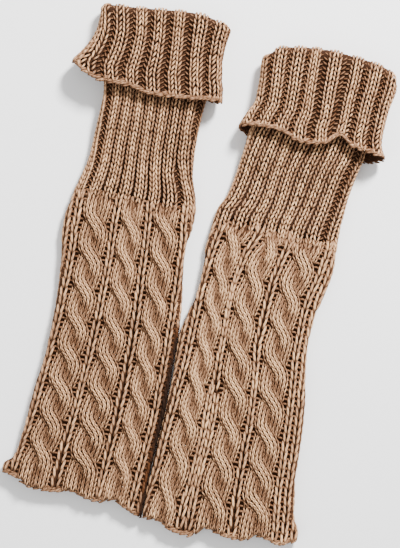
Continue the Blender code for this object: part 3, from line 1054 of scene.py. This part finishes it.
# %% [markdown]
# A rib is worked out from the gutters on both sides of it, so its stitches grow narrower
# where the gutters draw together. The stitches come out from under the cables at the bottom,
# and the last ones are hidden by the cuff.

# %% Neck ribs
NECK_ROW = 4.2
NECK_YARN = 0.95
NECK_LIFT_TOP = 2.3
NECK_STARTS = 250.0
NECK_EMERGES = 12.0
NECK_REACH = 14.0
NECK_FRONT = 1.06
NECK_ROUNDS = Table(("along", "rounding"), (262, 0.4), (285, 0.45), (315, 0.6), (350, 0.65))
NECK_ZIGZAG = {"row": NECK_ROW, "shade": 0.3, "most": NECK_LIFT_TOP, "sunk": 0.6}


def add_neck_arms(basket, rib, wale, hand, rows, off_row):
    """The left or the right arms of one wale of a rib."""
    rise, spread, dip, thick = arm_form(basket.points)
    along = rows + rise * NECK_ROW + off_row
    section = leg_section(basket.leg, along)
    left, left_width = neck_gutter(basket.leg, rib, along)
    right, right_width = neck_gutter(basket.leg, (rib + 1) % RIBS_ROUND, along)
    right = right + (rib + 1 == RIBS_ROUND) * 4 * section.half_front
    left, right = left + left_width / 2, right - right_width / 2
    wide = (right - left) / 2
    across_rib = wale * 0.5 * wide + hand * spread * wide
    around = (left + right) / 2 + across_rib + rng.normal(0, 0.1, rows.shape)
    crown = 1 - (across_rib / wide) ** 2 * NECK_ROUNDS.at("rounding", along)
    emerges = ease((along - NECK_STARTS) / NECK_EMERGES)
    lift = NECK_LIFT_TOP * crown - NECK_YARN * (0.9 + ARM_DIP * dip) - 0.9 * (1 - emerges)
    radius = NECK_YARN * thick * mix(0.85, 1.0, crown)
    radius = radius * rng.normal(1, 0.04, rows.shape)
    # painted shade: darker at the ends of each arm, on the sides of the rib and where the arms come out
    # from under the cables
    shade = np.clip(0.9 - 0.7 * dip, 0, 1) * crown * mix(0.6, 1.0, emerges)
    basket.add(along, around, section.pressed(around, lift, NECK_LIFT_TOP), radius, shade)


def add_neck(basket):
    """The ribs of the neck that lie on one side of it, two wales to a rib."""
    leg = basket.leg
    top = float(leg["cuff_line"].at("along", 0)) + NECK_REACH
    for rib in range(RIBS_ROUND):
        if (float(leg["neck_gutters"].at("middle", rib + 0.5)) <= NECK_FRONT) != basket.front:
            continue
        for wale in (-1, 1):
            rows = column_rows(NECK_STARTS + rng.uniform(0, 9), top, NECK_ROW)
            off_row = rng.normal(0, 0.2, rows.shape)
            for hand in (-1, 1):
                add_neck_arms(basket, rib, wale, hand, rows, off_row)
        rows = rows[neck_opens(leg, rib, rows)[:, 0] > 0.5]
        if len(rows):
            middle, width = neck_gutter(leg, rib, rows)
            add_zigzag(basket, leg_section(leg, rows), rows, middle, width + 0.8, **NECK_ZIGZAG)


print("rows on the left neck:", int((LEFT["cuff_line"].at("along", 0) - NECK_STARTS) / NECK_ROW))

# %% [markdown]
# ## The turned cuff
#
# On the cuff the ribs stand apart, so the gutters show: two columns of purl stitches that
# make a zigzag. The cloth runs up to the top fold, over it and down inside.

# %% Cuff ribs and zigzag gutters
CUFF_ROW = 4.2
CUFF_STARTS = 2.2
CUFF_YARN = 0.92
CUFF_LIFT = 2.8
CUFF_OVER = 12.0
CUFF_FRONT, CUFF_JUDGED_AT = 1.05, 20.0
CUFF_ZIGZAG = {"row": CUFF_ROW, "shade": 0.27, "most": CUFF_LIFT}


def cuff_gutter(leg, number, v):
    """The place of a gutter around the cuff, as a share, v up its cloth."""
    table = leg["cuff_gutters"]
    up = np.clip(v / cuff_length(leg), 0, 1)
    return mix(table.at("low", number), table.at("top", number), up)


def cuff_rib(leg, rib, rows):
    """(gutter, its width, left, right): a gutter and the edges of the rib to its right."""
    section = section_up_cuff(leg, rows)
    gutter = cuff_gutter(leg, rib, rows) * section.half_front
    right = cuff_gutter(leg, rib + 1, rows) * section.half_front
    gap, next_gap = (leg["cuff_gutters"].at("width", rib + i) for i in (0, 1))
    width = gap * (right - gutter)
    return gutter, width, gutter + width / 2, right - next_gap * (right - gutter) / 2


def add_cuff_arms(basket, section, left, right, wale, hand, rows, off_row):
    """The left or the right arms of one wale of a rib."""
    rise, spread, dip, thick = arm_form(basket.points)
    wide = (right - left) / 2
    across_rib = wale * 0.5 * wide + hand * spread * wide
    around = (left + right) / 2 + across_rib
    around = around + rng.normal(0, 0.1, rows.shape)
    crown = 1 - (across_rib / wide) ** 2
    lift = CUFF_LIFT * mix(0.5, 1.0, crown) - CUFF_YARN * (0.9 + ARM_DIP * dip)
    lift = section.pressed(around, lift, CUFF_LIFT)
    radius = CUFF_YARN * thick * rng.normal(1, 0.04, rows.shape)
    # painted shade: darker at the ends of each arm and on the sides of the rib
    shade = np.clip(0.86 - 0.72 * dip, 0, 1) * mix(0.65, 1.0, crown)
    basket.add(rows + rise * CUFF_ROW + off_row, around, lift, radius, shade)


def add_cuff(basket):
    """The ribs and the zigzag gutters of the cuff that lie on one side of it."""
    leg = basket.leg
    for rib in range(RIBS_ROUND):
        if (float(cuff_gutter(leg, rib + 0.5, CUFF_JUDGED_AT)) <= CUFF_FRONT) != basket.front:
            continue
        rows = column_rows(CUFF_STARTS, cuff_length(leg) + CUFF_OVER, CUFF_ROW)
        section = section_up_cuff(leg, rows)
        gutter, width, left, right = cuff_rib(leg, rib, rows)
        for wale in (-1, 1):
            off_row = rng.normal(0, 0.2, rows.shape)
            for hand in (-1, 1):
                add_cuff_arms(basket, section, left, right, wale, hand, rows, off_row)
        add_zigzag(basket, section, rows, gutter, width, **CUFF_ZIGZAG)


print("rows on the left cuff:", int((cuff_length(LEFT) + CUFF_OVER) / CUFF_ROW))

# %% [markdown]
# The hem and the loose edge of the cuff are finished by three strands of long links, which
# wander a little up and down, so that the edge looks bumpy.

# %% Edges
EDGE_LINK = 3.4
EDGE_YARN = 0.95
EDGE_BUMP = 0.8
EDGE_WAVE = 7.3
# painted shade of the links, at their ends and in their middle
EDGE_ENDS, EDGE_MIDDLE = 0.1, 0.54
HEM_EDGE = {"v": 0.6, "lift": 0.6, "strands": (0.0, 1.3, 2.6)}
CUFF_EDGE = {"v": 0.4, "lift": 1.4, "strands": (0.0, 1.1, 2.1)}


def add_edge(basket, section, v, lift, strands):
    """Strands of long links laid along a loose edge, front or back."""
    t = np.linspace(0, 1, basket.points)
    half = float(section.half_front)
    middles = np.arange(-half, half, EDGE_LINK)[:, None] + EDGE_LINK / 2
    if not basket.front:
        middles = middles + float(section.full)
    swell = np.sin(math.pi * t)
    for strand in strands:
        shift = EDGE_LINK * rng.uniform(0, 1)
        around = middles + shift + (t - 0.5) * 1.5 * EDGE_LINK + rng.normal(0, 0.3, middles.shape)
        bumps = EDGE_BUMP * np.sin(2 * math.pi * (middles + shift) / EDGE_WAVE)
        up_cloth = v + EDGE_YARN * (strand + 1.7 * (t - 0.5)) + bumps
        up_cloth = up_cloth + rng.normal(0, 0.35, middles.shape)
        up = lift - 0.5 * EDGE_YARN + 0.4 * swell - 0.35 * EDGE_YARN * np.abs(strand - 0.7)
        up = section.pressed(around, up + 0 * around, lift + 1.5)
        radius = EDGE_YARN * mix(0.75, 1.0, swell) * rng.normal(1, 0.05, middles.shape)
        # painted shade, darker at the ends of each link, with tone that differs at random
        shade = mix(EDGE_ENDS, EDGE_MIDDLE, swell) * rng.normal(1, 0.18, middles.shape)
        basket.add(up_cloth, around, up, radius, shade + 0 * around)


print("strands of links along an edge:", len(HEM_EDGE["strands"]))

# %% [markdown]
# ## The crevice
#
# The right tube leans against the left one lower down, and hardly any light gets between
# them. So the colours of the cloth and the yarn of the left tube carry a painted shadow: a
# share of light that falls to nothing within a few millimetres of the crevice.

# %% Light beside the crevice
CREVICE_TOP = MM * np.array((-16.0, -44.0))
CREVICE_LOW = MM * np.array((-50.0, -208.0))
CREVICE_REACH = 6.5 * MM
CREVICE_LIGHT = 0.0
CREVICE_DARK = 0.8


def crevice_light(leg, points):
    """The painted share of light at points of the left leg beside the crevice, which the right covers.
    """
    if not leg["covered_to"]:
        return np.ones(points.shape[:-1])
    run = CREVICE_TOP - CREVICE_LOW
    run = run / np.linalg.norm(run)
    off = (points[..., :2] - CREVICE_LOW) @ np.array((-run[1], run[0]))
    below = 1 - ease((points[..., 1] - CREVICE_TOP[1]) / CREVICE_REACH + 0.5)
    return mix(1.0, mix(CREVICE_LIGHT, 1.0, ease(off / CREVICE_REACH)), below)


def darkened(leg, shade, centre):
    """The painted shadow on arms in the crevice: under zero they are darker than any dive."""
    light = crevice_light(leg, centre)
    return shade * light - CREVICE_DARK * (1 - light)


run = (CREVICE_TOP - CREVICE_LOW) / MM
print("length of the crevice in mm:", round(float(np.hypot(*run))))

# %% [markdown]
# ## The ground of the cloth
#
# Behind the stitches lies a thin sheet, knitted tight and painted near black as shade, on the
# solid's own form. It is what shows in the holes, as their painted shade, and it gives the
# tube its inside. It is a closed wall: an outer skin a little under the yarn, an inner skin,
# and a strip at both ends. Beside the crevice it bulges, so that the floor stays hidden
# there, and there it is painted as dark as the crevice's shadow.

# %% The ground of the leg
GROUND_DROP = 1.9
GROUND_BESIDE = -1.6
GROUND_COVERS = 3.6
GROUND_COVERS_FROM = 1.4
GROUND_COVERS_FADE = 20
GROUND_BACK_MOST = 0.5
GROUND_BACK_SUNK = 0.6


def relief(leg, along, around):
    """The height of the outer form of the leg: cables, and ladders between them."""
    section = leg_section(leg, along)
    around = section.wrapped(around)
    full = np.where(np.abs(around) > section.half_front, np.copysign(section.full, around), 0)
    offset = np.where(full == 0, around, full - around)
    across = section.middle + offset
    rise = np.zeros(np.broadcast(along, around).shape)
    for name in CABLES[1:]:
        rise = np.maximum(rise, cable_rise(leg, name, across - leg["cables"].at(name, along), along))
    return rise + fold_rise(leg, across, along) * (full == 0)


def closed_tube(name, leg, rings):
    """A closed wall from rings of points, each joined to the next and the last to the first."""
    rings = np.stack(rings)
    count, size = rings.shape[:2]
    r, c = np.meshgrid(np.arange(count), np.arange(size), indexing="ij")
    ahead, beside = (r + 1) % count, (c + 1) % size
    corners = [r * size + c, r * size + beside, ahead * size + beside, ahead * size + c]
    faces = np.stack(corners, axis=-1).reshape(-1, 4)
    thing = mesh_object(name, rings, faces.tolist())
    # the painted shadow of the crevice, kept with every point
    store(thing.data, "light", crevice_light(leg, rings))
    bpy.context.view_layer.objects.active = thing
    thing.select_set(True)
    bpy.ops.object.mode_set(mode="EDIT")
    bpy.ops.mesh.select_all(action="SELECT")
    bpy.ops.mesh.normals_make_consistent(inside=False)
    bpy.ops.object.mode_set(mode="OBJECT")
    thing.select_set(False)
    return thing


def ground_leg(name, leg):
    """The ground of the cabled leg."""
    shares = np.linspace(-2, 2, 133)[:-1]
    rings = []
    for along in np.linspace(1.0, CABLE_TOP - 0.5, 100):
        section = leg_section(leg, along)
        around = shares * section.half_front
        covered = section.wrapped(around) > 0
        covered = covered * ease((leg["covered_to"] - along) / GROUND_COVERS_FADE)
        covers = GROUND_COVERS * (covered * section.beside(around, GROUND_COVERS_FROM))
        lift = relief(leg, along, around) - mix(GROUND_DROP, GROUND_BESIDE, section.beside(around))
        lift = lift + covers
        most = GROUND_BACK_MOST + covers
        lift = np.where(section.depth(around) > 0.5, np.minimum(lift, most), lift)
        lift = section.pressed(around, lift, CABLE_RISE) - GROUND_BACK_SUNK * section.below(around)
        rings.append(leg_place(leg, along, around, np.minimum(lift, CABLE_RISE)))
    for along in np.linspace(CABLE_TOP - 0.5, 1.0, 25):
        around = shares * leg_section(leg, along).half_front
        rings.append(leg_place(leg, along, around, -WALL))
    return closed_tube(name, leg, rings)


drop = LADDER_LIFT - LADDER_YARN + GROUND_DROP
print("from the middle of a ladder's yarn down to the ground, in mm:", round(drop, 1))

# %% [markdown]
# The neck's ground ends at a rim inside the cuff. The cuff's ground runs up its outside, over
# the fold and back down its inside, close to the neck.

# %% The grounds of the neck and the cuff
SHARES_ROUND = np.linspace(-2, 2, 97)[:-1]
NECK_GAP = 0.3
RIM_GAP = 1.3
NECK_DROP = -1.3
CUFF_DROP = -1.2
FOLD_DROP = 0.5
FOLD_BLENDS = 6
INSIDE_DROP = -WALL + 0.2


def neck_ring(leg, share_up, lift):
    start = CABLE_TOP + NECK_GAP
    along = mix(start, float(rim_along(leg, 0)) - RIM_GAP, share_up)
    section = leg_section(leg, along)
    around = SHARES_ROUND * section.half_front
    if lift > -WALL:
        lift = section.pressed(around, lift, 0.0)
    across, up = section.point(around, lift)
    along = mix(start, rim_along(leg, across) - RIM_GAP, share_up)
    return floor_point(leg, along, across, up)


def ground_neck(name, leg):
    """The ground of the neck, up to its rim inside the cuff."""
    rings = [neck_ring(leg, share_up, NECK_DROP) for share_up in np.linspace(0, 1, 20)]
    rings += [neck_ring(leg, share_up, -WALL) for share_up in np.linspace(1, 0, 10)]
    return closed_tube(name, leg, rings)


def cuff_ring(leg, v, lift, at_fold=None):
    section = section_up_cuff(leg, min(v, cuff_length(leg)))
    around = SHARES_ROUND * section.half_front
    lift = lift + 0 * around
    if at_fold is not None:
        _, low, rim = cuff_ends(leg, v, around)
        lift = mix(lift, at_fold, ease((v - (rim - low) + FOLD_BLENDS) / FOLD_BLENDS))
    return cuff_place(leg, v, around, section.pressed(around, lift, 0.0))


def ground_cuff(name, leg):
    """The ground of the cuff: up its outside, over the fold, and back down its inside."""
    length = cuff_length(leg)
    over = length + math.pi * FOLD_RADIUS
    outside = [*np.linspace(1.0, length, 34), *np.linspace(length, over, 8)[1:]]
    rings = [cuff_ring(leg, v, CUFF_DROP, FOLD_DROP) for v in outside]
    rings += [cuff_ring(leg, v, INSIDE_DROP) for v in np.linspace(over, length, 6)]
    rings += [cuff_ring(leg, v, -WALL) for v in np.linspace(length, 1.0, 8)[1:]]
    return closed_tube(name, leg, rings)


print("points on each ring of the necks and cuffs:", len(SHARES_ROUND))

# %% [markdown]
# ## Finishes
#
# Shader maths is easier to read as sums. A small class wraps a socket, so that plus, minus
# and times add Math nodes, and one method adds any other node.


# %% Sums on sockets
class Socket:
    """An output of a material's node tree, to reckon with as with a number."""

    def __init__(self, tree, output):
        self.tree, self.output = tree, output

    def _sum(self, operation, a, b):
        return node(self.tree, "ShaderNodeMath", {"operation": operation}, {0: a, 1: b})

    def __add__(self, other):
        return self._sum("ADD", self, other)

    def __radd__(self, other):
        return self._sum("ADD", other, self)

    def __sub__(self, other):
        return self._sum("SUBTRACT", self, other)

    def __rsub__(self, other):
        return self._sum("SUBTRACT", other, self)

    def __mul__(self, other):
        return self._sum("MULTIPLY", self, other)

    def __rmul__(self, other):
        return self._sum("MULTIPLY", other, self)


def node(tree, kind, settings=None, values=None, output=0):
    """Adds a node: its settings first, then the values or links of its sockets."""
    made = tree.nodes.new(kind)
    for name, value in (settings or {}).items():
        setattr(made, name, value)
    for name, value in (values or {}).items():
        if isinstance(value, Socket):
            tree.links.new(made.inputs[name], value.output)
        else:
            made.inputs[name].default_value = value
    return Socket(tree, made.outputs[output])


def stored(tree, name):
    """A number that the mesh keeps with every point."""
    return node(tree, "ShaderNodeAttribute", {"attribute_name": name}, output=2)


def ramp(tree, value, start, end, low=0.0, high=1.0):
    """A value stretched from its range to another, and held at both ends."""
    return node(tree, "ShaderNodeMapRange", {}, {0: value, 1: start, 2: end, 3: low, 4: high})


def blend(tree, share, first, second):
    """A mix of two colours, each a colour or a socket."""
    settings = {"data_type": "RGBA"}
    return node(tree, "ShaderNodeMix", settings, {0: share, 6: first, 7: second}, output=2)


def principled(name):
    material = bpy.data.materials.new(name)
    material.use_nodes = True
    return material, material.node_tree, material.node_tree.nodes["Principled BSDF"]


def connect(tree, shader, colour, rough, bump, specular):
    """The finished values go into the shader, and its gloss is set."""
    for label, value in (("Base Color", colour), ("Roughness", rough), ("Normal", bump)):
        tree.links.new(shader.inputs[label], value.output)
    shader.inputs["Specular IOR Level"].default_value = specular


print("sums with sockets: plus, minus and times")

# %% [markdown]
# The yarn is two plies twisted together, matt, with a little fuzz. Its colour carries painted
# shade and a painted highlight: darkest where an arm dives between its neighbours, where
# light is lost, and palest on the crowns. In the crevice it is painted near black as shadow,
# and the left tube's yarn is painted a little darker and the right's a little lighter, as
# shade and light. The twist is a wave across the yarn's own map, in its bump and as a little
# painted shade in its grooves, and soft noise on the object's coordinates keeps the two tubes
# from looking evenly dyed.

# %% Yarn finish
# colours of painted light: near black for the shadow in the crevice, deep brown for shade where arms
# dive, and pale for the highlight on the crowns, with the middle tan between
CREVICE_PAINTED_SHADOW = (0.012, 0.004, 0.001, 1)
DEEP = (0.062, 0.020, 0.005, 1)
MIDDLE = (0.27, 0.142, 0.076)
PALE = (1.0, 0.585, 0.30)
TWIST_SLANT, TWIST_TIGHT = 0.8, 2.2
# the left tube's yarn is painted a little darker and the right's a little lighter, as shade and light
YARN_PAINTED_LIGHT = {"left": 0.95, "right": 1.04}


def yarn_finish(name, gain):
    material, tree, shader = principled(name)
    place = node(tree, "ShaderNodeTexCoord", output=3)
    patches = node(tree, "ShaderNodeTexNoise", {}, {"Vector": place, "Scale": 28.0, "Detail": 2.0})
    fuzz = node(tree, "ShaderNodeTexNoise", {}, {"Vector": place, "Scale": 1800.0, "Detail": 1.0})
    yarn = node(tree, "ShaderNodeUVMap", {"uv_map": "Yarn"})
    round_it = node(tree, "ShaderNodeSeparateXYZ", {}, {0: yarn})
    along_it = Socket(tree, round_it.output.node.outputs[1])
    slant = (round_it + along_it * TWIST_SLANT) * TWIST_TIGHT
    twist = node(tree, "ShaderNodeMath", {"operation": "SINE"}, {0: slant})
    # the stored depth is painted shade and light, to which tone, patches, twist and fuzz are added
    light = stored(tree, "depth") + 0.07 * stored(tree, "tone")
    light = light + 0.15 * (patches - 0.5) + 0.06 * twist + 0.2 * (fuzz - 0.5)
    pale = tuple(min(1.0, gain * x) for x in PALE) + (1,)
    middle = tuple(gain * x for x in MIDDLE) + (1,)
    low, high = ramp(tree, light, 0.0, 0.55), ramp(tree, light, 0.56, 1.12)
    colour = blend(tree, high, blend(tree, low, DEEP, middle), pale)
    # painted shadow of the crevice, where the painted light falls under zero
    colour = blend(tree, ramp(tree, light, -0.4, -0.1, 1.0, 0.0), colour, CREVICE_PAINTED_SHADOW)
    height = twist * 0.5 + fuzz * 0.6
    bump = node(tree, "ShaderNodeBump", {}, {"Strength": 0.5, "Distance": 0.0003, "Height": height})
    connect(tree, shader, colour, 0.78 + 0.2 * fuzz, bump, 0.15)
    return material


yarns = {side: yarn_finish(f"{side}_yarn", gain) for side, gain in YARN_PAINTED_LIGHT.items()}
print("yarns:", ", ".join(material.name for material in yarns.values()))

# %% [markdown]
# The ground is the same fibre, painted nearly black brown as deep shade, with a fine knit of
# its own that comes from a cell pattern. Its painted shade is a little lighter under the
# cables than in the ribs, and beside the crevice it is painted as dark as the yarn's painted
# shadow there.

# %% Ground finish
# painted shade of the ground, dark and light by its knit, and how light each part's painted shade is:
# lighter under the cables than in the ribs
GROUND_DARK = (0.020, 0.007, 0.003)
GROUND_LIGHT = (0.046, 0.019, 0.008)
GROUND_PAINTED_SHADE = {"cabled_leg": 1.4, "ribbed_neck": 0.9, "turned_cuff": 0.9}
KNIT = {"Scale": 420.0, "Randomness": 0.6}


def ground_finish(name, gain):
    """The cloth behind the stitches, painted dark as shade, with a fine knit of its own."""
    material, tree, shader = principled(name)
    place = node(tree, "ShaderNodeTexCoord", output=3)
    knit = node(tree, "ShaderNodeTexVoronoi", {}, {"Vector": place, **KNIT})
    dark, light = ([gain * x for x in colour] + [1] for colour in (GROUND_DARK, GROUND_LIGHT))
    # the painted shadow of the crevice over the ground's painted shade and its knit
    colour = blend(tree, stored(tree, "light"), CREVICE_PAINTED_SHADOW, blend(tree, knit, dark, light))
    bump = node(tree, "ShaderNodeBump", {}, {"Strength": 0.6, "Distance": 0.0006, "Height": knit})
    connect(tree, shader, colour, 0.85 + 0.1 * knit, bump, 0.1)
    return material


grounds = {part: ground_finish(f"{part}_ground", gain) for part, gain in GROUND_PAINTED_SHADE.items()}
print("grounds:", ", ".join(material.name for material in grounds.values()))

# %% [markdown]
# ## Knitting it
#
# Now the baskets are filled. The front of each part is one piece and its underside another,
# so that no piece grows too heavy. The ground sheet of each part replaces its CAD solid, which
# is hidden. Each part also lists the size that its sheet would have if the tube were cut open
# and laid out.


# %% Make every piece
def knit_leg(basket):
    for name in CABLES[1:]:
        add_cable(basket, name)
    add_ladders(basket)
    add_edge(basket, leg_section(basket.leg, np.array(1.0)), **HEM_EDGE)
    leg, parts = basket.leg, basket.parts
    # the painted shadow of the crevice on the left tube's arms
    basket.parts = [(c, n, r, darkened(leg, shade, c), t) for c, n, r, shade, t in parts]


def knit_cuff(basket):
    add_cuff(basket)
    low = np.array(basket.leg["cuff_line"].at("along", 0))
    add_edge(basket, cuff_section(basket.leg, low, 0.0), **CUFF_EDGE)


def stitched(name, leg, place, knit, front):
    """One piece of stitches, on the front or the back of a part."""
    basket = Basket(leg, place, front)
    knit(basket)
    return basket.made(f"{name}_stitches_{'front' if front else 'back'}")


PARTS = (
    ("cabled_leg", "leg", ground_leg, knit_leg, leg_place, (0.235, 0.262)),
    ("ribbed_neck", "neck", ground_neck, add_neck, leg_place, (0.190, 0.155)),
    ("turned_cuff", "cuff", ground_cuff, knit_cuff, cuff_place, (0.250, 0.085)),
)
triangles = 0
for side, leg in (("left", LEFT), ("right", RIGHT)):
    for part, short, ground, knit, place, flat in PARTS:
        sheet = ground(f"{side}_{part}_ground", leg)
        sheet.data.materials.append(grounds[part])
        stitches = [stitched(f"{side}_{short}", leg, place, knit, front) for front in (True, False)]
        for piece in stitches:
            piece.data.materials.append(yarns[side])
        for piece in (sheet, *stitches):
            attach(piece, "root")
            count = sum(len(face.vertices) - 2 for face in piece.data.polygons)
            triangles += count
            print(f"{piece.name}: {count} triangles")
        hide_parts(f"{side}_{part}")
print("triangles in all:", triangles)

# %% [markdown]
# ## Floor, light and camera
#
# The pair lies on a plain pale floor. A small light from the upper right rakes across the
# cloth, so that every stitch throws a small shadow, and a wide weak one and a pale sky fill
# the rest. The camera looks straight down.

# %% Floor
FLOOR_DROP = 0.0004
bpy.ops.mesh.primitive_plane_add(size=6, location=(0, 0, -FLOOR_DROP))
floor = bpy.context.object
floor.name = "floor"
floor_material, _, floor_shader = principled("pale_floor")
floor_shader.inputs["Base Color"].default_value = (0.93, 0.93, 0.93, 1)
floor_shader.inputs["Roughness"].default_value = 0.9
floor.data.materials.append(floor_material)
print("floor, 6 m across")


# %% Light
def soft_light(name, place, size, power):
    """A square area light that faces the middle of the pair."""
    bpy.ops.object.light_add(type="AREA", location=place)
    lamp = bpy.context.object
    lamp.name = name
    lamp.data.size = size
    lamp.data.energy = power
    lamp.rotation_euler = (-lamp.location).to_track_quat("-Z", "Y").to_euler()


soft_light("key", (0.75, 1.25, 1.1), 0.35, 124)
soft_light("fill", (-1.4, -0.9, 1.6), 1.6, 16)
world = bpy.context.scene.world or bpy.data.worlds.new("sky")
bpy.context.scene.world = world
world.use_nodes = True
background = world.node_tree.nodes["Background"]
background.inputs["Color"].default_value = (1, 1, 1, 1)
background.inputs["Strength"].default_value = 0.85

# %% Camera
FRAME_HEIGHT = 0.4713
CAMERA_HEIGHT = 1.6
SUBJECT_HEIGHT = 0.010
bpy.ops.object.camera_add(location=(0.0002, 0.0009, CAMERA_HEIGHT + SUBJECT_HEIGHT))
camera = bpy.context.object
camera.rotation_euler = (0, 0, 0)
camera.data.sensor_width = 36
camera.data.lens = 36 * CAMERA_HEIGHT / FRAME_HEIGHT
bpy.context.scene.camera = camera
print("camera lens in mm:", round(camera.data.lens, 1))
